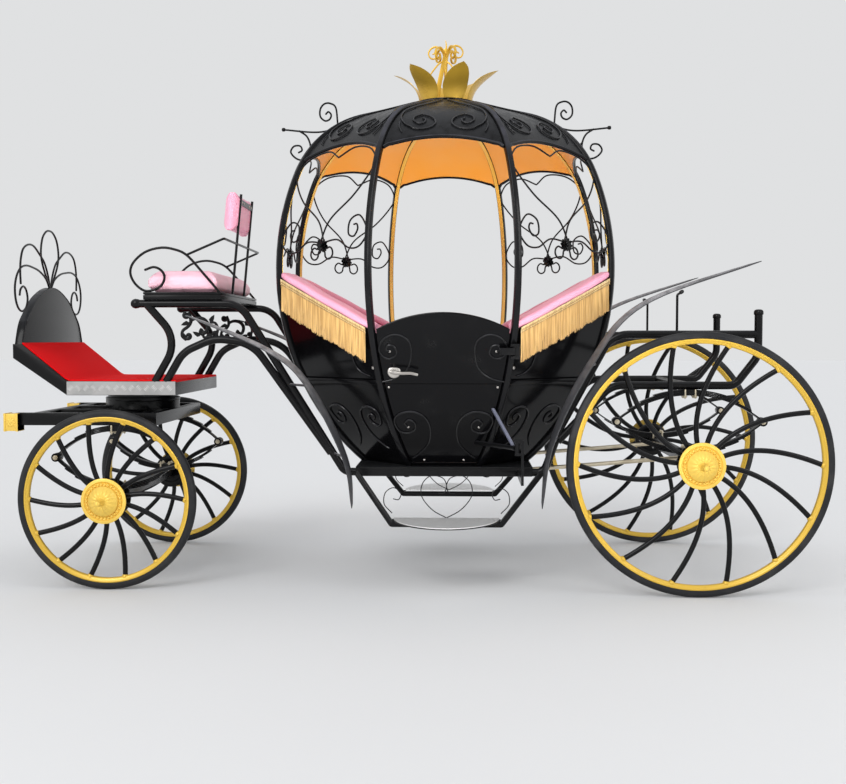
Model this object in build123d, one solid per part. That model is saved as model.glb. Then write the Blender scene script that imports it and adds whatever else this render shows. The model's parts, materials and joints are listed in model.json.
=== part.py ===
from build123d import *
import os
from math import acos, atan2, cos, radians, sin, sqrt, tan

# A horse-drawn carriage with a round, ribbed cabin. Millimetres, Z up from the ground, the front towards -X
# and the left side towards -Y. X is measured from the cabin's upright axis until a piece is written, when
# DATUM_X moves the origin to the middle of the whole length.

# Driving sizes of the running gear
FRONT_WHEEL_R = 425.0
REAR_WHEEL_R = 608.0
FRONT_AXLE_X = -1585.0
REAR_AXLE_X = 1170.0
FRONT_HALF_TRACK = 635.0
REAR_HALF_TRACK = 715.0
TYRE_DEPTH = 34.0
TYRE_WIDTH = 40.0
TYRE_SHOULDER = 9.0
WHEEL_FLATS = 28
RIM_DEPTH = 22.0
RIM_WIDTH = 34.0
SPOKES = 14
SPOKE_ACROSS = 20.0
BARREL_R = 55.0
BARREL_IN = 62.0
BARREL_OUT = 50.0
CAP_R = 107.0
NOSE_OUT = 158.0
STUB_R = 20.0
BRAKE_PLATE = 16.0
PLATE_R = 92.0
AXLE_BEAM = 50.0
RUNNING_FIT = 0.05
SEAT_GAP = 0.3
MOVING_GAP = 5.0

# Driving sizes of the frame
TUBE_R = 19.0
KING_PIN_R = 16.0
TURNTABLE_R = 190.0
SIDE_Y = 450.0
BASE_HALF_WIDTH = SIDE_Y + 15.0
BASE_HALF_LENGTH = 425.0
BASE_RAIL = 40.0
BASE_TOP_Z = 561.0
FLOOR_THICK = 6.0
STEP_Z = 302.0
STEP_Y = 540.0
SUBFRAME_TOP_Z = 823.0
SUBFRAME_DEPTH = 60.0
SUBFRAME_FRONT_X = -2080.0
SUBFRAME_REAR_X = -1392.0
BEAM_CAP_LONG = 72.0
FOOTBOARD_Z = 909.0
FOOTBOARD_DEPTH = 68.0
FOOTBOARD_HALF_WIDTH = 465.0
FOOTBOARD_FRONT_X = -1828.0
FOOTBOARD_REAR_X = -1298.0
TOE_X = -2090.0
TOE_RISE = 180.0
SEAT_TUBE_Z = 1352.0
SEAT_BOARD_X = (-1448.0, -1070.0)
SEAT_BOARD_HALF_WIDTH = 475.0
SEAT_BOARD_THICK = 36.0
REAR_TUBE_Z = 1203.0
REAR_LOWER_Z = 960.0
REAR_END_X = 1493.0
ROD_Y = 380.0
ROD_R = 10.0
GUARD_THICK, GUARD_HALF_WIDTH = 4.0, 55.0
STAY_R = 6.0

# Driving sizes of the cabin: radius and height of the rib line's turning points
RIBS = 8
RIB_ACROSS = 28.0
FOOT_R, FOOT_Z = 434.0, BASE_TOP_Z + FLOOR_THICK
BELLY_R, BELLY_Z = 878.0, 1520.0
SHOULDER_R, SHOULDER_Z = 784.0, 1995.0
BROW_R, BROW_Z = 449.0, 2291.0
HUB_R = 130.0
BELT_Z = 980.0
DOOR_FOOT_Z = 587.0
DOOR_SIDE_Z = 1205.0
DOOR_TOP_Z = 1298.0
DOOR_HALF = 330.0
QUARTER_LOW_Z = 1225.0
QUARTER_HIGH_Z = 1466.0
ARCH_TOP_Z = 2108.0
ARCH_SIDE_Z = 2066.0
ARCH_HALF = 235.0
ARCH_CORNER = 55.0
QUARTER_HALF = 300.0
WALL = 12.0
DOOR_OUTSET = 8.0
DOOR_INSET = 12.0
HINGE_HIGH_Z, HINGE_LOW_Z = 1125.0, 690.0
PIN_R, KNUCKLE_R, KNUCKLE_HIGH = 6.0, 11.0, 44.0
HANDLE_IN = 57.6
HINGE_OUT, HINGE_ASIDE = 41.3, 23.6
SEAT_DECK_Z = 930.0
CUSHION_THICK = 100.0
SEAT_FRONT_X = 290.0
FRINGE_LENGTH = 148.0
FRINGE_THICK = 12.0
RAIL_OUT, RAIL_HIGH = 9.0, 22.0
ROLL_HIGH, ROLL_IN, ROLL_OUT = 42.0, 70.0, 12.0
BACK_THICK = 82.0
WIRE_R = 4.0
ROSETTE_R = 28.0
CROWN_R, CROWN_THICK = 126.0, 12.0
PETALS = 6
PETAL_FOOT_R, PETAL_FLARE, PETAL_HIGH, PETAL_HALF_WIDTH = 112.0, 132.0, 200.0, 60.0
STEM_HIGH, STEM_REACH = 275.0, 78.0

DATUM_X = -(SUBFRAME_FRONT_X - BEAM_CAP_LONG + REAR_AXLE_X + REAR_WHEEL_R) / 2
HALF_RIB_ANGLE = 180.0 / RIBS
FLAT = cos(radians(HALF_RIB_ANGLE))
GORE_HALF = BELLY_R * tan(radians(HALF_RIB_ANGLE)) + RIB_ACROSS
LEFT_AND_RIGHT = (("left", -1), ("right", 1))
BASE_EXTENT = ((-BASE_HALF_LENGTH, BASE_HALF_LENGTH), (-BASE_HALF_WIDTH, BASE_HALF_WIDTH))
TALL = 1.25 * BROW_Z


def save(name, shape):
    """Write one piece with the origin moved to the middle of the length."""
    export_step(Pos(DATUM_X, 0, 0) * shape, f"parts/{name}.step")


def block(x, y, z):
    """A box from three (low, high) pairs."""
    size = (x[1] - x[0], y[1] - y[0], z[1] - z[0])
    middle = ((x[0] + x[1]) / 2, (y[0] + y[1]) / 2, (z[0] + z[1]) / 2)
    return Pos(*middle) * Box(*size)


def both_sides(shape):
    """The piece and its mirror image on the right side."""
    return Compound([*shape.solids(), *mirror(shape, Plane.XZ).solids()])


def on_side(shape, side):
    """A piece modelled on the left (-Y), placed on the side asked for."""
    return shape if side < 0 else mirror(shape, Plane.XZ)


def side_plate(face, y_low, y_high):
    """A face drawn as (x, z) and extruded over a range of y."""
    solid = extrude(Plane.XZ * face, amount=y_high - y_low)
    return Pos(0, y_high, 0) * solid


def polygon(points):
    """A face from corner points in order."""
    return make_face(Polyline(*points, close=True))


def chords(path, count):
    """A curve as straight lengths between evenly spaced points."""
    return Polyline(*[path @ (i / count) for i in range(count + 1)])


def rod(path, radius, sides=4):
    """A bar along straight lengths, mitred where they meet."""
    start = Plane(origin=path @ 0, z_dir=path % 0)
    section = RegularPolygon(radius, sides, major_radius=False, rotation=180 / sides)
    return sweep(start * section, path=path, transition=Transition.RIGHT)


def bar(a, b, radius, sides=6):
    """A straight bar between two points."""
    return rod(Line(a, b), radius, sides)


def bent(points, bends, count=2):
    """The route through corner points, each corner rounded to its radius in a few short lengths."""
    corners = [Vector(*point) for point in points]
    route = [corners[0]]
    for before, corner, after, radius in zip(corners, corners[1:], corners[2:], bends):
        into, out = (corner - before).normalized(), (after - corner).normalized()
        turn = acos(into.dot(out))
        start, end = corner - into * radius * tan(turn / 2), corner + out * radius * tan(turn / 2)
        centre = corner + (out - into).normalized() * radius / cos(turn / 2)
        for i in range(count + 1):
            share = i / count
            spoke = (start - centre) * sin((1 - share) * turn) + (end - centre) * sin(share * turn)
            route.append(centre + spoke / sin(turn))
    return Polyline(*route, corners[-1])


def tube(points, bends, radius=TUBE_R, sides=6):
    """A frame tube through corner points, each corner bent to its radius."""
    return rod(bent(points, bends), radius, sides)


# Wheels, modelled at the origin with the axle along Y and the outer side towards -Y
def ring(outer, inner, width, ease):
    """A wheel ring with WHEEL_FLATS flats, a flat at the bottom, eased by a chamfer at its outer edges."""
    def flats(radius, thick):
        face = RegularPolygon(radius, WHEEL_FLATS, major_radius=False, rotation=180 / WHEEL_FLATS + 90)
        return Rot(X=90) * Pos(0, 0, -thick / 2) * extrude(face, amount=thick)

    body = flats(outer, width)
    if ease > 0:
        body = chamfer(body.edges().filter_by(lambda edge: abs(edge.center().Y) > width / 2 - 1), ease)
    return body - flats(inner, 2 * width)


def tyre(wheel_r):
    """A solid rubber tyre with eased shoulders."""
    return ring(wheel_r, wheel_r - TYRE_DEPTH, TYRE_WIDTH, TYRE_SHOULDER)


def rim(wheel_r):
    """The rim that carries the tyre."""
    return ring(wheel_r - TYRE_DEPTH, wheel_r - TYRE_DEPTH - RIM_DEPTH, RIM_WIDTH, 0)


def polar(radius, degrees_up):
    """A point of the wheel's plane."""
    return (radius * cos(radians(degrees_up)), 0, radius * sin(radians(degrees_up)))


def spokes(wheel_r, hub_lead, middle_lead, rim_ring):
    """Bowed spokes on a hub barrel, cut to the rim, with the bearing's bore."""
    reach = wheel_r - TYRE_DEPTH - RIM_DEPTH
    path = ThreePointArc(
        polar(BARREL_R - 8, hub_lead), polar(reach * 0.6, middle_lead), polar(reach + RIM_DEPTH * 0.3, 0)
    )
    one = rod(chords(path, 3), SPOKE_ACROSS / 2)
    staves = RegularPolygon(BARREL_R, SPOKES, major_radius=False, rotation=180 / SPOKES)
    barrel = Rot(X=90) * Pos(0, 0, -BARREL_IN) * extrude(staves, amount=BARREL_OUT + BARREL_IN)
    wheel = barrel.fuse(*[Rot(Y=360 / SPOKES * i) * one for i in range(SPOKES)])
    bore = Rot(X=90) * Cylinder(STUB_R + RUNNING_FIT, 4 * BARREL_IN)
    return wheel - bore - rim_ring


def hub_cap():
    """A cap in facets: flange, dome and nose, each a tapered prism on the one before."""
    def stage(radius, low, high, taper, sides):
        face = RegularPolygon(radius, sides, major_radius=False)
        return Pos(0, 0, low) * extrude(face, amount=high - low, taper=taper)

    flange_top, dome_top = BARREL_OUT + 14, BARREL_OUT + 42
    cap = stage(CAP_R, BARREL_OUT, flange_top, 30, 20)
    dome = stage(CAP_R * 0.7, flange_top, dome_top, 55, 10)
    nose = stage(CAP_R * 0.27, dome_top, NOSE_OUT, 4, 10)
    return Rot(X=90) * cap.fuse(dome, nose)


def axle(x, z, half_track):
    """A square axle with a round stub in each hub barrel, and the brakes' backing plates."""
    shoulder_y = half_track - BARREL_IN - MOVING_GAP
    shaft = Pos(x, 0, z) * Box(AXLE_BEAM, 2 * shoulder_y, AXLE_BEAM)
    stub_long = BARREL_OUT + BARREL_IN
    plate_face = RegularPolygon(PLATE_R, SPOKES, major_radius=False)
    for side in (-1, 1):
        stub = Pos(x, side * (shoulder_y + stub_long / 2), z) * Rot(X=90) * Cylinder(STUB_R, stub_long)
        plate_y = side * (shoulder_y - BRAKE_PLATE / 2)
        plate = Pos(x, plate_y, z) * Rot(X=90) * extrude(plate_face, amount=BRAKE_PLATE / 2, both=True)
        shaft = shaft.fuse(stub, plate)
    return shaft


def leaf_spring(x, y, low_z, high_z, half_span, width=45.0, leaf=14.0, leaves=2, flats=3):
    """A full-elliptic spring: two stacks of arched leaves that meet in an eye at each end."""
    middle_z = (low_z + high_z) / 2
    rise = (high_z - low_z) / 2 - leaf * (leaves - 1)
    arch_r = (half_span**2 + rise**2) / (2 * rise)
    reach = atan2(half_span, arch_r - rise)
    half = None
    for i in range(leaves):
        swing = reach * (1 - i / flats)
        lines = []
        for radius in (arch_r + leaf * i, arch_r + leaf * (i - 1)):
            ends = [(radius * sin(a), radius * cos(a) - arch_r + rise) for a in (-swing, 0, swing)]
            lines.append(chords(ThreePointArc(*ends), 2 * (flats - i)))
        top, under = lines
        face = make_face([top, under, Line(top @ 0, under @ 0), Line(top @ 1, under @ 1)])
        half = face if half is None else half + face
    eyes = [Pos(side * half_span, 0) * RegularPolygon(18, 6) for side in (-1, 1)]
    outline = half + mirror(half, Plane.XZ) + eyes[0] + eyes[1]
    return Pos(x, 0, middle_z) * side_plate(outline, y - width / 2, y + width / 2)


# The cabin's outline, drawn as radius and height
def outline_arcs(scale):
    """Centres, radii and end angles of the three arcs for a radius scale."""
    foot, belly, shoulder, brow = FOOT_R * scale, BELLY_R * scale, SHOULDER_R * scale, BROW_R * scale
    down, up = BELLY_Z - FOOT_Z, SHOULDER_Z - BELLY_Z
    low_x = (belly**2 - foot**2 - down**2) / (2 * (belly - foot))
    high_x = (belly**2 - shoulder**2 - up**2) / (2 * (belly - shoulder))
    alpha = atan2(up, shoulder - high_x)
    dx, dz = brow - shoulder, BROW_Z - SHOULDER_Z
    cap_r = -(dx**2 + dz**2) / (2 * (dx * cos(alpha) + dz * sin(alpha)))
    cap = (shoulder - cap_r * cos(alpha), SHOULDER_Z - cap_r * sin(alpha))
    beta = atan2(BROW_Z - cap[1], brow - cap[0])
    return low_x, belly - low_x, high_x, belly - high_x, alpha, cap, cap_r, beta


def wall_radius(z, scale, out=0.0):
    """Radius of the outline at a height between the foot and the brow."""
    low_x, low_r, high_x, high_r, _, cap, cap_r, _ = outline_arcs(scale)
    if z < BELLY_Z:
        return low_x + sqrt((low_r + out) ** 2 - (BELLY_Z - z) ** 2)
    if z < SHOULDER_Z:
        return high_x + sqrt((high_r + out) ** 2 - (z - BELLY_Z) ** 2)
    return cap[0] + sqrt((cap_r + out) ** 2 - (z - cap[1]) ** 2)


def half_gore(z):
    """Half the clear width between two ribs at a height."""
    return wall_radius(z, FLAT) * tan(radians(HALF_RIB_ANGLE)) - RIB_ACROSS / 2 / FLAT


def roof_point(share):
    """Radius and height on a roof gore's middle line, from the shoulder at 0 to the brow at 1."""
    *_, alpha, cap, cap_r, beta = outline_arcs(FLAT)
    turn = alpha + share * (beta - alpha)
    return cap[0] + cap_r * cos(turn), cap[1] + cap_r * sin(turn)


def outline_edges(scale, out):
    """Edges of the outline from foot to hub, moved outwards by a distance."""
    low_x, low_r, high_x, high_r, alpha, cap, cap_r, beta = outline_arcs(scale)
    half_down = (BELLY_Z + FOOT_Z) / 2
    foot = (wall_radius(FOOT_Z, scale, out), FOOT_Z)
    belly = (low_x + low_r + out, BELLY_Z)
    shoulder = (high_x + (high_r + out) * cos(alpha), BELLY_Z + (high_r + out) * sin(alpha))
    upper = (high_x + (high_r + out) * cos(alpha / 2), BELLY_Z + (high_r + out) * sin(alpha / 2))
    turn = (alpha + beta) / 2
    cap_mid = (cap[0] + (cap_r + out) * cos(turn), cap[1] + (cap_r + out) * sin(turn))
    brow = (cap[0] + (cap_r + out) * cos(beta), cap[1] + (cap_r + out) * sin(beta))
    run = (brow[0] - HUB_R * scale) / sin(beta)
    hub = (HUB_R * scale, brow[1] + run * cos(beta))
    return [
        chords(ThreePointArc(foot, (wall_radius(half_down, scale, out), half_down), belly), 6),
        chords(ThreePointArc(belly, upper, shoulder), 4),
        chords(ThreePointArc(shoulder, cap_mid, brow), 5),
        Line(brow, hub),
    ], foot, hub


def band(scale, out_from, out_to):
    """A strip of the outline between two distances outwards, as a face of (radius, height)."""
    inner, inner_foot, inner_hub = outline_edges(scale, out_from)
    outer, outer_foot, outer_hub = outline_edges(scale, out_to)
    return make_face([*inner, *outer, Line(inner_foot, outer_foot), Line(inner_hub, outer_hub)])


def wedge(clear):
    """The space between two neighbouring ribs, a distance clear of their middle planes."""
    tip = clear / sin(radians(HALF_RIB_ANGLE))
    far = 3 * GORE_HALF
    half = (far - tip) * tan(radians(HALF_RIB_ANGLE))
    return extrude(polygon([(tip, 0), (far, -half), (far, half)]), amount=TALL)


def gore(out_from, out_to, clear, window):
    """A flat-chorded wall piece between two ribs, facing +X, kept where the window face (y, z) covers it."""
    strip = extrude(Plane.XZ * band(FLAT, out_from, out_to), amount=GORE_HALF, both=True)
    keep = extrude(Plane.YZ * window, amount=3 * GORE_HALF)
    return strip & wedge(clear) & keep


def turned(shape, degrees_round):
    """A piece that faces +X, turned about the cabin's axis."""
    return Rot(Z=degrees_round) * shape


def below(points):
    """A window face from the foot up to a top edge given from -y to +y."""
    return polygon([(-GORE_HALF, FOOT_Z), *points, (GORE_HALF, FOOT_Z)])


def level(z):
    """A level top edge."""
    return [(-GORE_HALF, z), (GORE_HALF, z)]


def quarter_top(lift=0.0):
    """Top edge of a quarter panel that falls towards +y."""
    beyond = (GORE_HALF - QUARTER_HALF) * (QUARTER_HIGH_Z - QUARTER_LOW_Z) / (2 * QUARTER_HALF)
    return [(-GORE_HALF, QUARTER_HIGH_Z + beyond + lift), (GORE_HALF, QUARTER_LOW_Z - beyond + lift)]


# Where each gore faces, and whether a quarter panel falls towards its +y or -y side
QUARTERS = ((45, False), (135, True), (225, False), (315, True))
ENDS = (0, 180)
DOOR_FACING = -90


def quarter_pieces(shape):
    """The four quarter pieces from one that faces +X and falls towards +y."""
    pieces = []
    for facing, falls_back in QUARTERS:
        piece = mirror(shape, Plane.XZ) if falls_back else shape
        pieces.append(turned(piece, facing))
    return pieces


def walls():
    """Lower and upper wall panels, belt rails, sills, top rolls, fringe and back cushions."""
    rib_side = RIB_ACROSS / 2
    belt_gap = 2.0
    wide = 2 * GORE_HALF
    rail = gore(0, RAIL_OUT, rib_side, Pos(0, BELT_Z) * Rectangle(wide, RAIL_HIGH))
    panel = gore(-WALL, 0, rib_side, below(level(BELT_Z - belt_gap))) + rail
    sill = gore(-WALL, DOOR_OUTSET, rib_side, below(level(DOOR_FOOT_Z - MOVING_GAP)))
    facings = [angle for angle, _ in QUARTERS] + [*ENDS]
    panels = [turned(panel, angle) for angle in facings]
    sills = [turned(sill, side * DOOR_FACING) for side in (-1, 1)]
    save("lower_panels", Compound(panels + sills))

    above_belt = Pos(0, BELT_Z + belt_gap + TALL / 2) * Rectangle(wide, TALL)
    quarter = gore(-WALL, 0, rib_side, below(quarter_top()) & above_belt)
    end = gore(-WALL, 0, rib_side, below(level(QUARTER_HIGH_Z)) & above_belt)
    save("upper_panels", Compound(quarter_pieces(quarter) + [turned(end, a) for a in ENDS]))

    roll_clear = rib_side + 2
    roll = gore(-ROLL_IN, ROLL_OUT, roll_clear, below(quarter_top(ROLL_HIGH)) - below(quarter_top()))
    end_face = below(level(QUARTER_HIGH_Z + ROLL_HIGH)) - below(level(QUARTER_HIGH_Z))
    end_roll = gore(-ROLL_IN, ROLL_OUT, roll_clear, end_face)
    save("top_rolls", Compound(quarter_pieces(roll) + [turned(end_roll, a) for a in ENDS]))

    braid_drop = 4.0
    fringe_face = below(quarter_top(-braid_drop)) - below(quarter_top(-braid_drop - FRINGE_LENGTH))
    fringe = gore(0, FRINGE_THICK, 2 * rib_side, fringe_face)
    save("fringes", Compound(quarter_pieces(fringe)))

    cushion_floor = Pos(0, SEAT_DECK_Z + 1.2 * CUSHION_THICK + TALL / 2) * Rectangle(wide, TALL)
    rib_clear = rib_side * FLAT + 2 * SEAT_GAP
    below_roll = -2 * SEAT_GAP
    back = gore(-BACK_THICK, -rib_clear, SEAT_GAP / 2, below(quarter_top(below_roll)) & cushion_floor)
    end_face = below(level(QUARTER_HIGH_Z + below_roll)) & cushion_floor
    end_back = gore(-BACK_THICK, -rib_clear, SEAT_GAP / 2, end_face)
    backs = quarter_pieces(back)
    for name, end_angle, chosen in (("rear", 0, (0, 3)), ("front", 180, (1, 2))):
        save(f"back_cushion_{name}", Compound([backs[i] for i in chosen] + [turned(end_back, end_angle)]))


def inside(out):
    """The cabin's inner space up to the shoulder, moved outwards by a distance."""
    edges, foot, hub = outline_edges(FLAT, out)
    half = make_face([*edges, Polyline(foot, (0, FOOT_Z), (0, hub[1]), hub)])
    both = extrude(Plane.XZ * half, amount=3 * GORE_HALF, both=True)
    both = both + mirror(both, Plane.YZ)
    return both & (Rot(Z=45) * both) & (Rot(Z=90) * both) & (Rot(Z=135) * both)


def seats():
    """Two facing seat boxes with their cushions."""
    room = inside(-WALL - 8)
    cushion_room = inside(-WALL - 14)
    board = 16.0
    near, far = SEAT_FRONT_X, TALL / 3
    front = block((near, near + board), (-TALL, TALL), (FOOT_Z, SEAT_DECK_Z))
    deck = block((near, far), (-TALL, TALL), (SEAT_DECK_Z - board, SEAT_DECK_Z))
    pad = block((near - 25, far), (-TALL, TALL), (SEAT_DECK_Z, SEAT_DECK_Z + CUSHION_THICK))
    box, cushion = (front + deck) & room, pad & cushion_room
    save("seat_boxes", Compound([*box.solids(), *mirror(box, Plane.YZ).solids()]))
    save("seat_cushion_rear", cushion)
    save("seat_cushion_front", mirror(cushion, Plane.YZ))


def ribs():
    """Eight ribs with the roof hub."""
    half = RIB_ACROSS / 2
    rib = extrude(Plane.XZ * band(1.0, -half, half), amount=half, both=True)
    angles = [HALF_RIB_ANGLE + i * 360 / RIBS for i in range(RIBS)]
    hub_z = outline_edges(1.0, 0)[2][1]
    flats = Rot(Z=HALF_RIB_ANGLE) * RegularPolygon(HUB_R, RIBS, major_radius=False, rotation=HALF_RIB_ANGLE)
    hub = Pos(0, 0, hub_z - 20) * extrude(flats, amount=36)
    frame = hub.fuse(*[turned(rib, a) for a in angles])
    save("cabin_ribs", frame)
    return frame, hub, hub_z + 16


def roof_window():
    """The roof gore's outline: open below an arch with rounded corners."""
    side_z, low_z = ARCH_SIDE_Z + 6, ARCH_SIDE_Z - ARCH_CORNER
    middle = (ARCH_HALF + 0.67 * ARCH_CORNER, ARCH_SIDE_Z - 0.25 * ARCH_CORNER)
    foot = ARCH_HALF + ARCH_CORNER
    bow = chords(ThreePointArc((-ARCH_HALF, side_z), (0, ARCH_TOP_Z), (ARCH_HALF, side_z)), 5)
    right = chords(ThreePointArc((ARCH_HALF, side_z), middle, (foot, low_z)), 2)
    left = mirror(right, Plane.YZ)
    wide = GORE_HALF
    top = Polyline((foot, low_z), (wide, low_z), (wide, TALL), (-wide, TALL), (-wide, low_z), (-foot, low_z))
    return make_face([bow, right, top, left])


def roof(hub):
    """Eight roof gores between the ribs; returns the one that faces +X."""
    shell = gore(-6, 4, RIB_ACROSS / 2, roof_window()) - hub
    save("roof_gores", Compound([turned(shell, i * 360 / RIBS) for i in range(RIBS)]))
    return shell


def lamp_arms(shell):
    """A bracket with two spirals at the front and at the rear, each on two feet on its roof gore."""
    foot, hook_foot = roof_point(0.72), roof_point(0.30)

    def above_foot(*offsets):
        """Points of the bracket from offsets outwards and upwards."""
        return [(foot[0] + 12 + out, foot[1] + 36 + up) for out, up in offsets]

    tail = chords(Spline(*above_foot((300, -12), (145, -26), (62, -16), (18, 12))), 4)
    high = chords(Spline(tail @ 1, *above_foot((28, 98), (88, 118), (108, 54), (60, 40))), 7)
    low = chords(Spline(*above_foot((218, -19), (160, -98), (196, -168), (262, -128), (206, -98))), 7)
    hook = chords(Spline(*above_foot((158, -90), (130, -130)), hook_foot), 3)
    wires = [rod(Plane.XZ * line, WIRE_R) for line in (tail, high, Polyline(tail @ 1, foot), low, hook)]
    knob_x, knob_z = above_foot((290, -11))[0]
    knob = bar((knob_x, 0, knob_z), (knob_x + 18, 0, knob_z - 1), 2.2 * WIRE_R)
    arm = knob.fuse(*wires) - shell
    save("lamp_arms", Compound([*arm.solids(), *mirror(arm, Plane.YZ).solids()]))


# A window's scrollwork, as shares of the window's half width and height
HEART = (
    (0.0, 0.887), (0.36, 0.952), (0.80, 0.92), (1.02, 0.815),
    (0.94, 0.72), (0.61, 0.55), (0.14, 0.383), (-0.05, 0.205),
)
SIDE_SCROLL = (
    (0.02, 0.207), (0.35, 0.22), (0.62, 0.15), (0.86, 0.16), (1.01, 0.265),
    (0.83, 0.39), (0.61, 0.35), (0.62, 0.25), (0.74, 0.26),
)
LOOP = ((0.04, 0.155), (0.157, 0.17), (0.245, 0.123), (0.157, 0.077), (0.06, 0.13))
ROSETTE_UP = 0.185


def window_point(across, up):
    """A point in the window that faces +X, from shares of its half width and height."""
    low, high = QUARTER_HIGH_Z + ROLL_HIGH, ARCH_TOP_Z
    z = low + up * (high - low)
    return wall_radius(z, FLAT), across * half_gore(z), z


def window_scrolls():
    """A heart with flanking scrolls and a rosette in each of the six windows beside the doors."""
    x, y, z = window_point(0, ROSETTE_UP)
    middle = Pos(x, y, z) * Rot(Y=90) * extrude(RegularPolygon(ROSETTE_R, 8), amount=1.5 * WIRE_R, both=True)
    wires = []
    for shares, count in ((HEART, 9), (SIDE_SCROLL, 11), (LOOP, 4)):
        wire = rod(chords(Spline(*[window_point(*share) for share in shares]), count), WIRE_R)
        wires += [wire, mirror(wire, Plane.XZ)]
    scrolls = middle.fuse(*wires) & wedge(RIB_ACROSS / 2)
    facings = [angle for angle, _ in QUARTERS] + [*ENDS]
    save("window_scrolls", Compound([turned(scrolls, angle) for angle in facings]))


def crown(base_z):
    """Flared leaf petals and four curled stems on a turned base."""
    plate_top = base_z + CROWN_THICK
    base = Pos(0, 0, base_z) * extrude(RegularPolygon(CROWN_R, 2 * PETALS), amount=CROWN_THICK)
    foot = (PETAL_FOOT_R, plate_top)
    middle = (foot[0] + PETAL_FLARE * 0.22, foot[1] + PETAL_HIGH * 0.55)
    tip = (foot[0] + PETAL_FLARE, foot[1] + PETAL_HIGH)
    spine = chords(ThreePointArc(foot, middle, tip), 3)
    under = Pos(-3, 0) * spine
    sheet_face = make_face([spine, under, Line(spine @ 0, under @ 0), Line(spine @ 1, under @ 1)])
    sheet = extrude(Plane.XZ * sheet_face, amount=PETAL_HALF_WIDTH, both=True)
    half_foot, wide_z = 0.42 * PETAL_HALF_WIDTH, plate_top + 0.45 * PETAL_HIGH
    right = chords(ThreePointArc((half_foot, plate_top), (PETAL_HALF_WIDTH, wide_z), (0, tip[1])), 4)
    foot_line = Line((-half_foot, plate_top), (half_foot, plate_top))
    leaf_face = make_face([right, mirror(right, Plane.YZ), foot_line])
    petal = sheet & extrude(Plane.YZ * leaf_face, amount=2 * tip[0])
    stem_r = 6.0
    bend, end = (2.5 * stem_r, plate_top + 0.66 * STEM_HIGH), (STEM_REACH, plate_top + 0.85 * STEM_HIGH)
    curl = ThreePointArc(bend, (0.6 * STEM_REACH, plate_top + STEM_HIGH), end)
    stem = rod(Plane.XZ * (Line((2 * stem_r, plate_top - 2), bend) + chords(curl, 5)), stem_r)
    petals = [turned(petal, 360 / PETALS * i) for i in range(PETALS)]
    stems = [turned(stem, 20 + 90 * i) for i in range(4)]
    save("crown", base.fuse(*petals, *stems))


def door_slab():
    """One door facing +X: upper and lower sheet with the seam between them as a groove."""
    clear = RIB_ACROSS / 2 + MOVING_GAP
    half = DOOR_HALF
    arch = chords(ThreePointArc((-half, DOOR_SIDE_Z), (0, DOOR_TOP_Z), (half, DOOR_SIDE_Z)), 8)
    rest = Polyline((half, DOOR_SIDE_Z), (half, DOOR_FOOT_Z), (-half, DOOR_FOOT_Z), (-half, DOOR_SIDE_Z))
    slab = gore(-DOOR_INSET, DOOR_OUTSET, clear, make_face([arch, rest]))
    seam_z = BELT_Z - 5
    groove = Pos(wall_radius(seam_z, FLAT, DOOR_OUTSET), 0, seam_z) * Box(6, 2 * GORE_HALF, 3)
    return slab - groove


def hinge_line():
    """Place (x, y) of the left door's upright hinge line, outside the wall and beside the rib."""
    rib_x = wall_radius(HINGE_HIGH_Z, 1.0) * sin(radians(HALF_RIB_ANGLE))
    return rib_x + HINGE_ASIDE, -wall_radius(HINGE_HIGH_Z, FLAT, DOOR_OUTSET) - HINGE_OUT


def door(slab):
    """A door with the two knuckles and the arms that reach from its wall to the hinge line."""
    knuckle = Pos(0, 0, -KNUCKLE_HIGH / 2) * extrude(RegularPolygon(KNUCKLE_R, 8), amount=KNUCKLE_HIGH)
    x, y = hinge_line()
    upper_wall = -wall_radius(HINGE_HIGH_Z, FLAT, DOOR_OUTSET)
    lower_wall = -wall_radius(HINGE_LOW_Z, FLAT, DOOR_OUTSET)
    strut_z = HINGE_LOW_Z + 170
    strut_wall = -wall_radius(strut_z, FLAT, DOOR_OUTSET)
    leaf = (HINGE_HIGH_Z - 16, HINGE_HIGH_Z + 16)
    inner, neck = x - 78, x - 56
    arm = block((inner, x), (y - 4, y + 8), leaf) + block((inner, neck), (y, upper_wall + DOOR_INSET), leaf)
    lower_arm = bar((150, lower_wall + 10, HINGE_LOW_Z), (x - 1, y + 2, HINGE_LOW_Z), 12)
    strut = bar((228, strut_wall + 8, strut_z), (x - 16, y + 26, HINGE_LOW_Z + 6), 7)
    knuckles = [Pos(x, y, z) * knuckle for z in (HINGE_HIGH_Z, HINGE_LOW_Z)]
    hung = slab.fuse(arm, lower_arm, strut, *knuckles)
    return hung - Pos(x, y, 0) * Cylinder(PIN_R + RUNNING_FIT, TALL)


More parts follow.
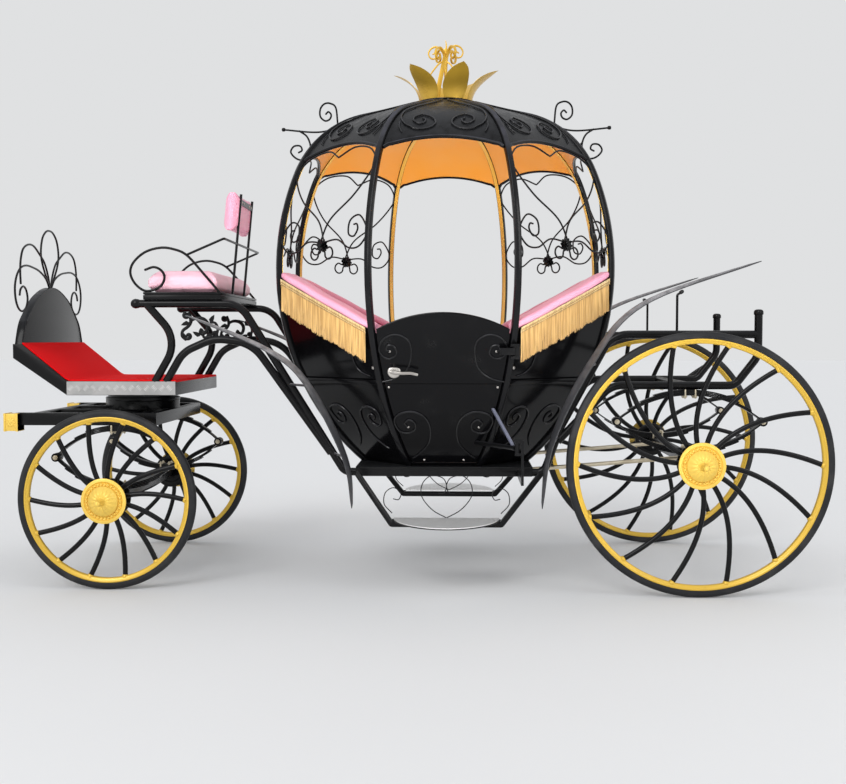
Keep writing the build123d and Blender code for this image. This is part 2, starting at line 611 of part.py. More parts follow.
def hinge_mounts(frame):
    """Hinge pins held above and below each knuckle, from the rib and from the base frame."""
    x, y = hinge_line()
    lug_high = 12.0
    reach = KNUCKLE_HIGH / 2 + SEAT_GAP
    rib_x = wall_radius(HINGE_HIGH_Z, 1.0) * sin(radians(HALF_RIB_ANGLE))
    rib_y = -wall_radius(HINGE_HIGH_Z, 1.0) * FLAT
    pin = Pos(0, 0, -reach - lug_high / 2) * extrude(RegularPolygon(PIN_R, 10), amount=2 * reach + lug_high)
    upper = Pos(x, y, HINGE_HIGH_Z) * pin
    lower = Pos(x, y, HINGE_LOW_Z) * pin
    for end in (-1, 1):
        near, far = end * reach, end * (reach + lug_high)
        span = sorted((HINGE_HIGH_Z + near, HINGE_HIGH_Z + far))
        upper = upper + block((rib_x - 6, x + KNUCKLE_R), (y - KNUCKLE_R, rib_y), span)
        span = sorted((HINGE_LOW_Z + near, HINGE_LOW_Z + far))
        lower = lower + block((x - KNUCKLE_R, x + 30), (y - KNUCKLE_R, y + KNUCKLE_R), span)
    low_z = BASE_TOP_Z - BASE_RAIL
    post_top = HINGE_LOW_Z + reach + lug_high
    lower = lower + block((x + 18, x + 30), (y - KNUCKLE_R, y + KNUCKLE_R), (low_z, post_top))
    lower = lower + block((x + 18, x + 30), (y - KNUCKLE_R, -BASE_HALF_WIDTH), (low_z, low_z + 30))
    return both_sides(Compound([*(upper - frame).solids(), *lower.solids()]))


def handle():
    """A lever handle with its round rose, on the left door's front edge."""
    z = BELT_Z + 53
    x = HANDLE_IN - half_gore(z)
    wall = -wall_radius(z, FLAT, DOOR_OUTSET)
    rose = Pos(x, wall - 2, z) * Rot(X=90) * extrude(RegularPolygon(26, 12), amount=8, both=True)
    neck = bar((x, wall - 8, z), (x, wall - 50, z), 9)
    grip_line = Polyline((x - 9, wall - 44, z + 2), (x + 50, wall - 48, z), (x + 118, wall - 40, z - 16))
    return rose + neck + rod(grip_line, 8, sides=6)


def base_frame():
    """The rectangular frame under the cabin with its cross members."""
    low = BASE_TOP_Z - BASE_RAIL
    bay = (BASE_HALF_LENGTH - 2.5 * BASE_RAIL) / 2
    frame = block(*BASE_EXTENT, (low, BASE_TOP_Z))
    for side in (-1, 1):
        middle = side * (BASE_RAIL * 0.75 + bay)
        half = BASE_HALF_WIDTH - BASE_RAIL
        frame = frame - block((middle - bay, middle + bay), (-half, half), (low - 1, BASE_TOP_Z + 1))
    return frame


def seat_line():
    """Corners (x, z) of the tube from the driver's seat down to the base frame."""
    foot_z = BASE_TOP_Z - BASE_RAIL / 2
    foot_x = BASE_HALF_LENGTH + 55
    return [(-1500, SEAT_TUBE_Z), (-985, SEAT_TUBE_Z), (-foot_x, foot_z), (5 - BASE_HALF_LENGTH, foot_z)]


def rear_line():
    """Corners (x, z) of the tube from the base frame up to the rear end."""
    foot_z = BASE_TOP_Z - BASE_RAIL / 2
    foot_x = BASE_HALF_LENGTH + 55
    shin, knee = (foot_x + 80, 760), (foot_x + 320, REAR_TUBE_Z)
    return [(BASE_HALF_LENGTH - 5, foot_z), (foot_x, foot_z), shin, knee, (REAR_END_X + TUBE_R, REAR_TUBE_Z)]


def x_at(line, z):
    """Where a line of corners (x, z) passes a height."""
    for (x0, z0), (x1, z1) in zip(line, line[1:]):
        if min(z0, z1) <= z <= max(z0, z1) and z0 != z1:
            return x0 + (x1 - x0) * (z - z0) / (z1 - z0)


def main_tubes():
    """Tubes of the left side frames, by where they run."""
    y = -SIDE_Y
    foot_z = BASE_TOP_Z - BASE_RAIL / 2
    sunk = FOOTBOARD_Z + FOOTBOARD_DEPTH - 9
    on_side_line = [(x, y, z) for x, z in seat_line()]
    seat_tube = tube(on_side_line, [130, 50])
    knob = bar((-1504, y, SEAT_TUBE_Z), (-1470, y, SEAT_TUBE_Z), TUBE_R + 5)
    arch = [(-1345, y, sunk), (-1262, y, 1118), (-1110, y, 1185), (-925, y, 1160), (-545, y, foot_z + 90)]
    post = [(-1392, y, sunk), (-1318, y, 1170), (-1440, y, SEAT_TUBE_Z)]
    front = seat_tube.fuse(knob, tube(arch, [60, 90, 120]), tube(post, [110]))
    top_tube = tube([(x, y, z) for x, z in rear_line()], [50, 200, 130])
    shin_x, shin_z, post_top = BASE_HALF_LENGTH + 120, 690, REAR_TUBE_Z + 109
    low = [
        (shin_x, y, shin_z), (shin_x + 255, y, REAR_LOWER_Z), (REAR_END_X - 108, y, REAR_LOWER_Z),
        (REAR_END_X, y, REAR_LOWER_Z + 140), (REAR_END_X, y, post_top),
    ]
    post_cap = bar((REAR_END_X, y, post_top - 4), (REAR_END_X, y, post_top + 10), TUBE_R + 3)
    hook_x, hook_y, hook_z = REAR_AXLE_X - 60, y + 8, REAR_TUBE_Z + 189
    hook_line = Polyline((hook_x, hook_y, REAR_TUBE_Z), (hook_x, hook_y, hook_z), (hook_x, hook_y - 120, hook_z + 10))
    return front, top_tube.fuse(tube(low, [120, 60, 90]), post_cap, rod(hook_line, 6))


def side_frames(base, board, rug):
    """Front and rear side frames, cut where they stand on the base frame and the footboard."""
    front, rear = main_tubes()
    board_top = FOOTBOARD_Z + FOOTBOARD_DEPTH
    under = block((FOOTBOARD_FRONT_X, FOOTBOARD_REAR_X), (-TALL, TALL), (0, board_top))
    front = front - under - rug - base
    rear = rear - base
    cross = []
    for x, z in ((REAR_END_X, REAR_TUBE_Z), (REAR_AXLE_X, REAR_LOWER_Z)):
        cross.append(bar((x, -SIDE_Y, z), (x, SIDE_Y, z), TUBE_R - 3))
    save("front_frames", both_sides(front))
    whole = rear.fuse(mirror(rear, Plane.XZ), *cross)
    save("rear_frame", whole)
    return both_sides(front), whole


def subframe():
    """The turning sub-frame: side beams, cross beams, inner rails and the lower turntable ring."""
    low, high = SUBFRAME_TOP_Z - SUBFRAME_DEPTH, SUBFRAME_TOP_Z
    beam = block((SUBFRAME_FRONT_X, SUBFRAME_REAR_X), (-SIDE_Y - 20, -SIDE_Y + 20), (low, high))
    inner = SIDE_Y - 20
    cross = block((SUBFRAME_REAR_X - 40, SUBFRAME_REAR_X), (-inner, inner), (low, high))
    for x, half in ((SUBFRAME_FRONT_X + 95, 20.0), (FRONT_AXLE_X, 45.0)):
        cross = cross + block((x - half, x + half), (-inner, inner), (low, high))
    for y in (-150, 150):
        cross = cross + block((SUBFRAME_FRONT_X + 115, SUBFRAME_REAR_X - 40), (y - 15, y + 15), (low + 10, high))
    king = Pos(FRONT_AXLE_X, 0, high) * Cylinder(KING_PIN_R + RUNNING_FIT, 400)
    ring_top = (high + FOOTBOARD_Z) / 2 - SEAT_GAP
    return beam.fuse(mirror(beam, Plane.XZ), cross, turntable_ring(high, ring_top)) - king


def turntable_ring(low, high):
    """A turntable plate with a window on each side of its middle web."""
    plate = extrude(RegularPolygon(TURNTABLE_R, 16), amount=(high - low) / 2, both=True)
    for side in (-1, 1):
        plate = plate - Pos(side * TURNTABLE_R * 0.45, 0) * Box(TURNTABLE_R * 0.45, TURNTABLE_R, high)
    return Pos(FRONT_AXLE_X, 0, (low + high) / 2) * plate


def upper_turntable():
    """The fixed ring under the footboard with the king pin."""
    low = (SUBFRAME_TOP_Z + FOOTBOARD_Z) / 2
    pin_low = SUBFRAME_TOP_Z - SUBFRAME_DEPTH - 14
    pin = Pos(FRONT_AXLE_X, 0, (pin_low + low) / 2 + 2) * Cylinder(KING_PIN_R, low - pin_low + 4)
    nut = Pos(FRONT_AXLE_X, 0, pin_low - 2) * extrude(RegularPolygon(KING_PIN_R + 10, 6), amount=14)
    return turntable_ring(low, FOOTBOARD_Z) + pin + nut


def footboard():
    """The footboard tray with its sloped toe board, open below."""
    low, top = FOOTBOARD_Z, FOOTBOARD_Z + FOOTBOARD_DEPTH
    toe_low, toe_top = low + TOE_RISE, top + TOE_RISE
    outer = [
        (FOOTBOARD_REAR_X, low), (FOOTBOARD_REAR_X, top), (FOOTBOARD_FRONT_X, top), (TOE_X, toe_top),
        (TOE_X, toe_low), (FOOTBOARD_FRONT_X, low),
    ]
    skin, skirt = 5.0, 5.0
    half = FOOTBOARD_HALF_WIDTH
    solid = side_plate(polygon(outer), -half, half)
    rear_x, toe_x = FOOTBOARD_REAR_X - skirt, TOE_X + skirt
    hollow = [
        (rear_x, low - 1), (rear_x, top - skin), (FOOTBOARD_FRONT_X + 1, top - skin),
        (toe_x, toe_top - 2 * skin), (toe_x, toe_low - skin - 20), (FOOTBOARD_FRONT_X, low - 1),
    ]
    solid = solid - side_plate(polygon(hollow), -half + skirt, half - skirt)
    for x in (FRONT_AXLE_X - 110, FRONT_AXLE_X + 110):
        solid = solid + block((x - 25, x + 25), (-half + skirt, half - skirt), (low, top - skin))
    return solid


def carpet(thick=6.0, margin=10.0):
    """The carpet that covers the footboard and the toe board."""
    top = FOOTBOARD_Z + FOOTBOARD_DEPTH
    slope = TOE_RISE / (FOOTBOARD_FRONT_X - TOE_X)
    start_x = TOE_X + 45
    start_z = top + slope * (FOOTBOARD_FRONT_X - start_x)
    face = [
        (FOOTBOARD_REAR_X, top), (FOOTBOARD_REAR_X, top + thick), (FOOTBOARD_FRONT_X + 2, top + thick),
        (start_x, start_z + thick), (start_x, start_z), (FOOTBOARD_FRONT_X, top),
    ]
    half = FOOTBOARD_HALF_WIDTH - margin
    return side_plate(polygon(face), -half, half)


def dash(board):
    """The arched dash panel and the fan of rod loops above it."""
    low_z = FOOTBOARD_Z + FOOTBOARD_DEPTH + TOE_RISE - 40
    crest_points = [(448, low_z + 18), (347, 1299), (205, 1395), (0, 1447)]
    mirrored = [(-y, z) for y, z in crest_points[:3]]
    edge = chords(Spline(*mirrored, *reversed(crest_points)), 12)
    rest = Polyline((448, low_z + 18), (448, low_z), (-448, low_z), (-448, low_z + 18))
    face = make_face([edge, rest])
    panel = Pos(TOE_X, 0, 0) * extrude(Plane.YZ * face, amount=40)
    under = block((TOE_X, TOE_X + 40), (-TALL, TALL), (0, FOOTBOARD_Z + FOOTBOARD_DEPTH + TOE_RISE))
    slope = TOE_RISE / (FOOTBOARD_FRONT_X - TOE_X)
    sloped = [(TOE_X, low_z), (TOE_X, low_z + 40), (TOE_X + 40, low_z + 40 - 40 * slope), (TOE_X + 40, low_z)]
    panel = panel - side_plate(polygon(sloped), -TALL, TALL) - board
    big = chords(ThreePointArc((8, 1440), (150, 1612), (300, 1650)), 4) + chords(
        ThreePointArc((300, 1650), (392, 1600), (408, 1512)), 4
    )
    low = chords(ThreePointArc((8, 1440), (150, 1530), (325, 1545)), 4) + chords(
        ThreePointArc((325, 1545), (452, 1490), (470, 1400)), 4
    )
    curl = chords(ThreePointArc((470, 1400), (440, 1322), (380, 1325)), 4) + chords(
        ThreePointArc((380, 1325), (318, 1380), (372, 1443)), 4
    )
    centre = chords(ThreePointArc((-128, 1590), (0, 1745), (128, 1590)), 8)
    right = rod(Plane.YZ * big, 5).fuse(rod(Plane.YZ * (low + curl), 5))
    fan = right.fuse(mirror(right, Plane.XZ), rod(Plane.YZ * centre, 5))
    save("dash", panel.fuse(*(Pos(TOE_X + 20, 0, 0) * fan).solids()))


def driver_seat(front_frames):
    """Seat board with its scroll rails, back rail and leaning uprights, the bolster and the back rest."""
    low, top = SEAT_TUBE_Z + TUBE_R, SEAT_TUBE_Z + TUBE_R + SEAT_BOARD_THICK
    x0, x1 = SEAT_BOARD_X
    half = SEAT_BOARD_HALF_WIDTH
    board = block((x0, x1), (-half, half), (low, top))
    y = -half + 10
    scroll_points = [(-1081, top - 2), (-1238, 1585), (-1369, 1622), (-1490, 1570), (-1508, 1495), (-1445, top)]
    scroll = Spline(*[(x, y, z) for x, z in scroll_points])
    curl = ThreePointArc((-1445, y, top), (-1345, y, 1478), (-1439, y, 1514))
    rail = rod(chords(scroll, 11), 6) + rod(chords(curl, 6), 6)
    back = rod(Polyline((-1238, y, 1585), (-1056, y, 1663), (-1056, -y, 1663), (-1238, -y, 1585)), 6)
    lean_top = 1912.0
    upright = polygon([(-1086, top - 1), (-1074, top - 1), (-1025, lean_top), (-1037, lean_top)])
    uprights = [side_plate(upright, side * 153 - 6, side * 153 + 6) for side in (-1, 1)]
    save("driver_seat_frame", board.fuse(rail, mirror(rail, Plane.XZ), back, *uprights) - front_frames)
    pad = block((x0 + 4, -1088), (-half + 22, half - 22), (top, top + 100))
    pad = chamfer(pad.edges().filter_by(Axis.Y).group_by(Axis.Z)[-1], 30)
    save("driver_cushion", pad)
    lean = (1086 - 1037) / (lean_top - top + 1)
    low_z, high_z = 1722.0, 1925.0
    face = [(-1086 + lean * (z - top + 1), z) for z in (low_z, high_z)]
    rest = side_plate(polygon([*face, (face[1][0] - 62, high_z), (face[0][0] - 62, low_z)]), -205, 205)
    save("back_rest", rest)


def steps(frames):
    """A hanging step on each side with its tread plate."""
    radius = 14.0
    hung_z = BASE_TOP_Z - radius - 2
    front_x, rear_x = 177 - BASE_HALF_LENGTH, BASE_HALF_LENGTH - 151
    corners = [
        (-BASE_HALF_LENGTH - 3, -SIDE_Y, hung_z), (front_x, -STEP_Y, STEP_Z),
        (rear_x, -STEP_Y, STEP_Z), (BASE_HALF_LENGTH + 49, -SIDE_Y, hung_z),
    ]
    hanger = tube(corners, [30, 30], radius=radius, sides=6)
    middle, half = (front_x + rear_x) / 2, (rear_x - front_x) / 2 - 43
    inner, outer = -STEP_Y + 170, -STEP_Y - 250
    edge = chords(ThreePointArc((middle - half, inner), (middle, outer), (middle + half, inner)), 14)
    tread = Pos(0, 0, STEP_Z + radius) * extrude(make_face([edge, Line(edge @ 1, edge @ 0)]), amount=4)
    save("step_hangers", both_sides(hanger - tread - frames))
    save("step_treads", both_sides(tread))


def guard(y, points, tube_line):
    """A leaf-shaped guard through points (x, z), on two stays from a frame tube."""
    line = chords(Spline(*points), 5)
    shifted = Pos(GUARD_THICK, 0) * line
    section = make_face([line, shifted, Line(line @ 0, shifted @ 0), Line(line @ 1, shifted @ 1)])
    sheet = side_plate(section, -y - GUARD_HALF_WIDTH, -y + GUARD_HALF_WIDTH)
    low_z, high_z = points[0][1], points[-1][1]
    middle = (low_z + high_z) / 2
    edges = []
    for side in (-1, 1):
        widest = (-y + side * GUARD_HALF_WIDTH, middle)
        edges.append(chords(ThreePointArc((-y, low_z), widest, (-y, high_z)), 3))
    leaf = sheet & (Pos(-TALL, 0, 0) * extrude(Plane.YZ * make_face(edges), amount=2 * TALL))
    stays = []
    for x, z in points[1:3]:
        stays.append(bar((x_at(tube_line, z), -SIDE_Y, z), (x, -y + GUARD_HALF_WIDTH / 2, z), STAY_R, 4))
    return leaf.fuse(*stays)


def mudguards(frames):
    """Guards beside the front and rear wheels; the rear one keeps clear of its wheel by set distances."""
    front = [(-430, 390), (-470, 630), (-640, 963), (-820, 1120), (-1205, 1290)]
    rear = []
    for clear, degrees_up in ((134, -16.3), (60, 8.8), (59, 42.8), (159, 70.0), (354, 106.3)):
        reach, turn = REAR_WHEEL_R + clear, radians(degrees_up)
        rear.append((REAR_AXLE_X - reach * cos(turn), REAR_WHEEL_R + reach * sin(turn)))
    pieces = []
    sides = ((FRONT_HALF_TRACK + 5, front, seat_line()), (REAR_HALF_TRACK - 15, rear, rear_line()))
    for y, points, line in sides:
        pieces += guard(y, points, line).solids()
    save("mudguards", both_sides(Compound(pieces) - frames))


def wheels():
    """Four wheels and their axles; returns the rear axle."""
    gear = (
        ("front", FRONT_WHEEL_R, FRONT_AXLE_X, FRONT_HALF_TRACK, 5.0, 7.0),
        ("rear", REAR_WHEEL_R, REAR_AXLE_X, REAR_HALF_TRACK, 14.0, 11.0),
    )
    for name, wheel_r, axle_x, half_track, hub_lead, middle_lead in gear:
        rim_ring = rim(wheel_r)
        pieces = (
            ("tyre", tyre(wheel_r)),
            ("rim", Compound([rim_ring, *hub_cap().solids()])),
            ("spokes", spokes(wheel_r, hub_lead, middle_lead, rim_ring)),
        )
        for side_name, side in LEFT_AND_RIGHT:
            for piece, shape in pieces:
                placed = Pos(axle_x, -half_track, wheel_r) * shape
                save(f"{piece}_{name}_{side_name}", on_side(placed, side))
        shaft = axle(axle_x, wheel_r, half_track)
        save(f"{name}_axle", shaft)
    return shaft


def springs():
    """Leaf springs between the axles and what they carry."""
    front_low, front_high = FRONT_WHEEL_R + AXLE_BEAM / 2, SUBFRAME_TOP_Z - SUBFRAME_DEPTH
    rear_low, rear_high = REAR_WHEEL_R + AXLE_BEAM / 2, REAR_LOWER_Z - TUBE_R
    save("front_springs", both_sides(leaf_spring(FRONT_AXLE_X, -SIDE_Y, front_low, front_high, 300)))
    save("rear_springs", both_sides(leaf_spring(REAR_AXLE_X, -SIDE_Y, rear_low, rear_high, 345)))


def main():
    os.makedirs("parts", exist_ok=True)
    rear_axle = wheels()
    springs()
    save("turning_subframe", subframe())
    save("upper_turntable", upper_turntable())
    cap_x = (SUBFRAME_FRONT_X - BEAM_CAP_LONG, SUBFRAME_FRONT_X)
    cap_z = (SUBFRAME_TOP_Z - 89, SUBFRAME_TOP_Z - 1)
    cap = block(cap_x, (-SIDE_Y - 44, -SIDE_Y + 44), cap_z)
    save("beam_caps", both_sides(chamfer(cap.edges().group_by(Axis.X)[0], 9)))

    base = base_frame()
    save("base_frame", base)
    save("cabin_floor", block(*BASE_EXTENT, (BASE_TOP_Z, FOOT_Z)))
    rods = []
    for y in (-ROD_Y, ROD_Y):
        front_end = (BASE_HALF_LENGTH - 2, y, BASE_TOP_Z - BASE_RAIL / 3)
        rods.append(bar(front_end, (REAR_AXLE_X - AXLE_BEAM / 2 + 2, y, REAR_WHEEL_R), ROD_R))
    save("radius_rods", Compound(rods) - base - rear_axle)

    board = footboard()
    rug = carpet()
    save("footboard", board)
    save("carpet", rug)
    edging_y = (-FOOTBOARD_HALF_WIDTH - 3, -FOOTBOARD_HALF_WIDTH)
    edging_z = (FOOTBOARD_Z + 2, FOOTBOARD_Z + FOOTBOARD_DEPTH - 1)
    edging = block((FOOTBOARD_FRONT_X, FOOTBOARD_REAR_X), edging_y, edging_z)
    save("footboard_edging", both_sides(edging))
    dash(board + rug)

    frame, hub, hub_top = ribs()
    window_scrolls()
    slab = turned(door_slab(), DOOR_FACING)
    for name, side in LEFT_AND_RIGHT:
        save(f"door_{name}", on_side(door(slab), side))
        save(f"door_handle_{name}", on_side(handle() - slab, side))
    save("hinge_mounts", hinge_mounts(frame))
    walls()
    seats()
    lamp_arms(roof(hub))
    crown(hub_top)
    front_frames, rear_frame = side_frames(base, board, rug)
    driver_seat(front_frames)
    whole = Compound([*front_frames.solids(), *rear_frame.solids(), *base.solids()])
    steps(whole)
    mudguards(whole)


main()
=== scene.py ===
"""A horse drawn carriage with a round, ribbed cabin, dressed and lit as it stands.

Shapes are drawn in millimetres from the cabin's upright axis, with the front towards -X, the left side
towards -Y and the ground at zero. Shape.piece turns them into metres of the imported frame.
"""

import json
import logging
import random
from dataclasses import dataclass
from enum import Enum
from math import asin, atan2, cos, degrees, hypot, pi, radians, sin, sqrt, tan
from typing import Callable, Iterable, Sequence

import bmesh
import bpy
from mathutils import Matrix, Vector

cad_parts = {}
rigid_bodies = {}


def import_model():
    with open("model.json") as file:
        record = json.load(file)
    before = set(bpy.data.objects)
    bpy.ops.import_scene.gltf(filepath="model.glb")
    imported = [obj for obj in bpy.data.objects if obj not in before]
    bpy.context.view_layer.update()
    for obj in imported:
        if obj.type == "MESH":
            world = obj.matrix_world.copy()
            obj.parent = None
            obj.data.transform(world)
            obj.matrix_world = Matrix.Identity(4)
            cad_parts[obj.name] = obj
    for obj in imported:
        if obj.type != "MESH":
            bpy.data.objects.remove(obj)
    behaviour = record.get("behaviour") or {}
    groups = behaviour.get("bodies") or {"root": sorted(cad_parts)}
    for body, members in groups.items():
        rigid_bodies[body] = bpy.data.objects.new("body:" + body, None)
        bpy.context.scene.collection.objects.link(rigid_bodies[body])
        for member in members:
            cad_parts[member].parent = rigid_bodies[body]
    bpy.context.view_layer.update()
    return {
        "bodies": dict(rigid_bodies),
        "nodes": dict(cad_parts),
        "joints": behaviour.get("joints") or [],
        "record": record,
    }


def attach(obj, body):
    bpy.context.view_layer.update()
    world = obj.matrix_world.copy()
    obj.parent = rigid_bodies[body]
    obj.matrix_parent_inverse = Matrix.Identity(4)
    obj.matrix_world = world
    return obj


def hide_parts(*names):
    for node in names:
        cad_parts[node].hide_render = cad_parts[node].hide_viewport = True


LOG = logging.getLogger("carriage")
MM = 0.001
WELD = 0.00002
DATUM_X = 187.0
Pair = tuple[float, float]
Triple = tuple[float, float, float]
Pairs = Sequence[Pair]
Grid = Sequence[Sequence[Vector]]


class Sock:
    """An output socket that is written as a Python value."""

    def __init__(self, graph: "Graph", socket: bpy.types.NodeSocket) -> None:
        """Keep the socket and the graph that it belongs to."""
        self.graph = graph
        self.socket = socket

    def _with(self, operation: str, left: "Sock | float", right: "Sock | float") -> "Sock":
        """Join two values, by Vector Math where one of them is a colour or a vector."""
        return self.graph.calculate(operation, left, right)

    def __add__(self, other: "Sock | float") -> "Sock":
        """self + other."""
        return self._with("ADD", self, other)

    def __sub__(self, other: "Sock | float") -> "Sock":
        """self - other."""
        return self._with("SUBTRACT", self, other)

    def __mul__(self, other: "Sock | float") -> "Sock":
        """self * other."""
        return self._with("MULTIPLY", self, other)

    def __rsub__(self, other: float) -> "Sock":
        """other - self."""
        return self._with("SUBTRACT", other, self)

    __radd__ = __add__
    __rmul__ = __mul__

    def ease(self, low: float, high: float) -> "Sock":
        """0 below low, 1 above high and a smooth step between."""
        sockets = {"Value": self, "From Min": low, "From Max": high}
        return self.graph.node("ShaderNodeMapRange", {"interpolation_type": "SMOOTHSTEP"}, sockets)

    def part(self, axis: str) -> "Sock":
        """One component of a vector, X, Y or Z."""
        return self.graph.node("ShaderNodeSeparateXYZ", {}, {0: self}, axis)


class Graph:
    """The node tree of one material."""

    def __init__(self, name: str) -> None:
        """Start an empty material.

        Args:
            name: the material's name.
        """
        self.material = bpy.data.materials.new(name)
        self.material.use_nodes = True
        self.tree = self.material.node_tree
        self.tree.nodes.clear()

    def node(self, kind: str, settings: dict, sockets: dict, output: str | int = 0) -> Sock:
        """Add one node.

        Args:
            kind: the node's type name.
            settings: properties set first; "stops" holds a ramp's (place, colour) pairs.
            sockets: values or links by socket name or number.
            output: the output that is returned.
        Returns:
            The chosen output.
        """
        made = self.tree.nodes.new(kind)
        for key, value in settings.items():
            if key == "stops":
                ramp = made.color_ramp
                while len(ramp.elements) < len(value):
                    ramp.elements.new(0.5)
                for element, (place, colour) in zip(ramp.elements, value):
                    element.position = place
                    element.color = (*colour, 1.0)
            else:
                setattr(made, key, value)
        for key, value in sockets.items():
            if isinstance(value, Sock):
                self.tree.links.new(value.socket, made.inputs[key])
            else:
                made.inputs[key].default_value = value
        return Sock(self, made.outputs[output])

    def calculate(self, operation: str, left: Sock | float, right: Sock | float) -> Sock:
        """A Math node for numbers, or a Vector Math node where a side is a vector or a colour.

        Args:
            operation: the node's operation.
            left: the first value.
            right: the second value.
        Returns:
            The node's result.
        """
        sides = (left, right)
        flat = all(not isinstance(s, tuple) and not (isinstance(s, Sock) and s.socket.type != "VALUE") for s in sides)
        if flat:
            return self.node("ShaderNodeMath", {"operation": operation}, {0: left, 1: right})
        wide = [(s,) * 3 if isinstance(s, (int, float)) else s for s in sides]
        return self.node("ShaderNodeVectorMath", {"operation": operation}, {0: wide[0], 1: wide[1]})

    def place(self, stretch: Triple = (1.0, 1.0, 1.0)) -> Sock:
        """Coordinates of the piece in metres, scaled along each axis."""
        return self.node("ShaderNodeTexCoord", {}, {}, "Object") * stretch

    def cloud(self, scale: float, detail: float = 3.0, stretch: Triple = (1.0, 1.0, 1.0)) -> Sock:
        """Soft noise from 0 to 1."""
        return self.node("ShaderNodeTexNoise", {}, {"Vector": self.place(stretch), "Scale": scale, "Detail": detail})

    def cells(self, scale: float) -> Sock:
        """Distance to the nearest cell point."""
        return self.node("ShaderNodeTexVoronoi", {"feature": "F1"}, {"Vector": self.place(), "Scale": scale})

    def mix(self, factor: Sock | float, first: Sock | Triple, second: Sock | Triple) -> Sock:
        """Two colours mixed."""
        colours = [c if isinstance(c, Sock) else (*c, 1.0) for c in (first, second)]
        return self.node("ShaderNodeMix", {"data_type": "RGBA"}, {0: factor, 6: colours[0], 7: colours[1]}, 2)

    def facing_up(self) -> Sock:
        """How far a face looks up, 0 to 1."""
        return self.node("ShaderNodeNewGeometry", {}, {}, "Normal").part("Z").ease(0.25, 0.95)

    def bump(self, height: Sock, depth: float, strength: float = 1.0) -> Sock:
        """A normal from a height, depth in metres."""
        return self.node("ShaderNodeBump", {}, {"Height": height, "Distance": depth, "Strength": strength})

    def finish(self, colour: Sock | Triple, rough: Sock | float, normal: Sock | None = None,
               **fixed: float | Sock) -> bpy.types.Material:
        """Close the material with a Principled shader.

        Args:
            colour: base colour.
            rough: roughness.
            normal: a bumped normal.
            fixed: other sockets by name, underscores standing for spaces.
        Returns:
            The material.
        """
        sockets: dict = {"Base Color": colour if isinstance(colour, Sock) else (*colour, 1.0), "Roughness": rough}
        if normal is not None:
            sockets["Normal"] = normal
        for key, value in fixed.items():
            sockets[key.replace("_", " ")] = value
        shader = self.node("ShaderNodeBsdfPrincipled", {}, sockets)
        made = self.tree.nodes.new("ShaderNodeOutputMaterial")
        self.tree.links.new(shader.socket, made.inputs["Surface"])
        return self.material


@dataclass(frozen=True)
class Enamel:
    """Sprayed paint with faint orange peel, a lighter tone where it looks up (thin dust, and in some finishes a painted
    sheen of the sky) and small rubbed patches.
    """

    name: str
    colour: Triple
    rubbed: Triple
    rough: float = 0.2
    metal: float = 0.0
    coat: float = 0.2
    # The next two fields lighten faces that look up: thin dust in most finishes; where strong and bluish, as in the
    # rib, scroll and guard finishes, a painted sheen of the sky.
    dust: float = 0.12
    dust_and_sheen_colour: Triple = (0.085, 0.088, 0.098)
    shine: float = 0.5

    def material(self) -> bpy.types.Material:
        """The paint's nodes.

        Returns:
            The material.
        """
        g = Graph(self.name)
        cloud, fine = g.cloud(7.0, 5.0), g.cloud(160.0, 2.0)
        worn = cloud.ease(0.56, 0.72) * fine.ease(0.35, 0.7)
        colour = g.mix(worn * 0.6, self.colour, self.rubbed)
        # Faces that look up are mixed towards a lighter tone: dust, and in some finishes a painted sheen of the sky.
        dust_and_sheen_mask = g.facing_up() * g.cloud(26.0, 6.0).ease(0.05, 0.75) * self.dust
        colour = g.mix(dust_and_sheen_mask, colour, self.dust_and_sheen_colour)
        rough = cloud * 0.1 + dust_and_sheen_mask * 1.2 + fine * 0.05 + (self.rough - 0.06)
        peel = g.bump(g.cloud(300.0, 2.0), 0.0006, 0.12)
        return g.finish(colour, rough, peel, Metallic=self.metal, Coat_Weight=self.coat, Coat_Roughness=0.08,
                        Specular_IOR_Level=self.shine)


@dataclass(frozen=True)
class Metal:
    """Bare or plated metal with fine scratches along one axis and smudges."""

    name: str
    colour: Triple
    shade: Triple
    rough: float = 0.25
    grain: Triple = (40.0, 400.0, 400.0)

    def material(self) -> bpy.types.Material:
        """The metal's nodes.

        Returns:
            The material.
        """
        g = Graph(self.name)
        brushed, smudge = g.cloud(1.0, 3.0, self.grain), g.cloud(14.0, 4.0)
        colour = g.mix(smudge.ease(0.35, 0.7) * 0.7 + brushed * 0.3, self.colour, self.shade)
        rough = brushed * 0.12 + smudge * 0.14 + (self.rough - 0.1)
        return g.finish(colour, rough, g.bump(brushed, 0.0003, 0.25), Metallic=1.0)


@dataclass(frozen=True)
class Rubber:
    """Solid tyre rubber with road dust and fine moulding texture."""

    name: str = "tyre rubber"

    def material(self) -> bpy.types.Material:
        """The rubber's nodes.

        Returns:
            The material.
        """
        g = Graph(self.name)
        dust, grit = g.cloud(9.0, 6.0), g.cloud(240.0, 3.0)
        mask = dust.ease(0.42, 0.75) * 0.25 + grit.ease(0.5, 0.8) * 0.08
        colour = g.mix(mask, (0.009, 0.0095, 0.011), (0.085, 0.082, 0.08))
        return g.finish(colour, grit * 0.12 + 0.48 + mask * 0.3, g.bump(grit, 0.0005, 0.3), Specular_IOR_Level=0.34)


@dataclass(frozen=True)
class Pile:
    """Short needled carpet."""

    name: str
    colour: Triple
    deep: Triple

    def material(self) -> bpy.types.Material:
        """The carpet's nodes.

        Returns:
            The material.
        """
        g = Graph(self.name)
        fibre, tuft, tread = g.cloud(900.0, 4.0), g.cells(330.0), g.cloud(11.0, 3.0)
        colour = g.mix(fibre.ease(0.3, 0.7) * 0.7, self.deep, self.colour)
        colour = g.mix(tread.ease(0.45, 0.75) * 0.22, colour, self.deep)
        height = fibre * 0.6 + tuft * 0.5 + tread * 0.8
        return g.finish(colour, 0.92 - fibre * 0.08, g.bump(height, 0.0022, 0.7), Specular_IOR_Level=0.1)


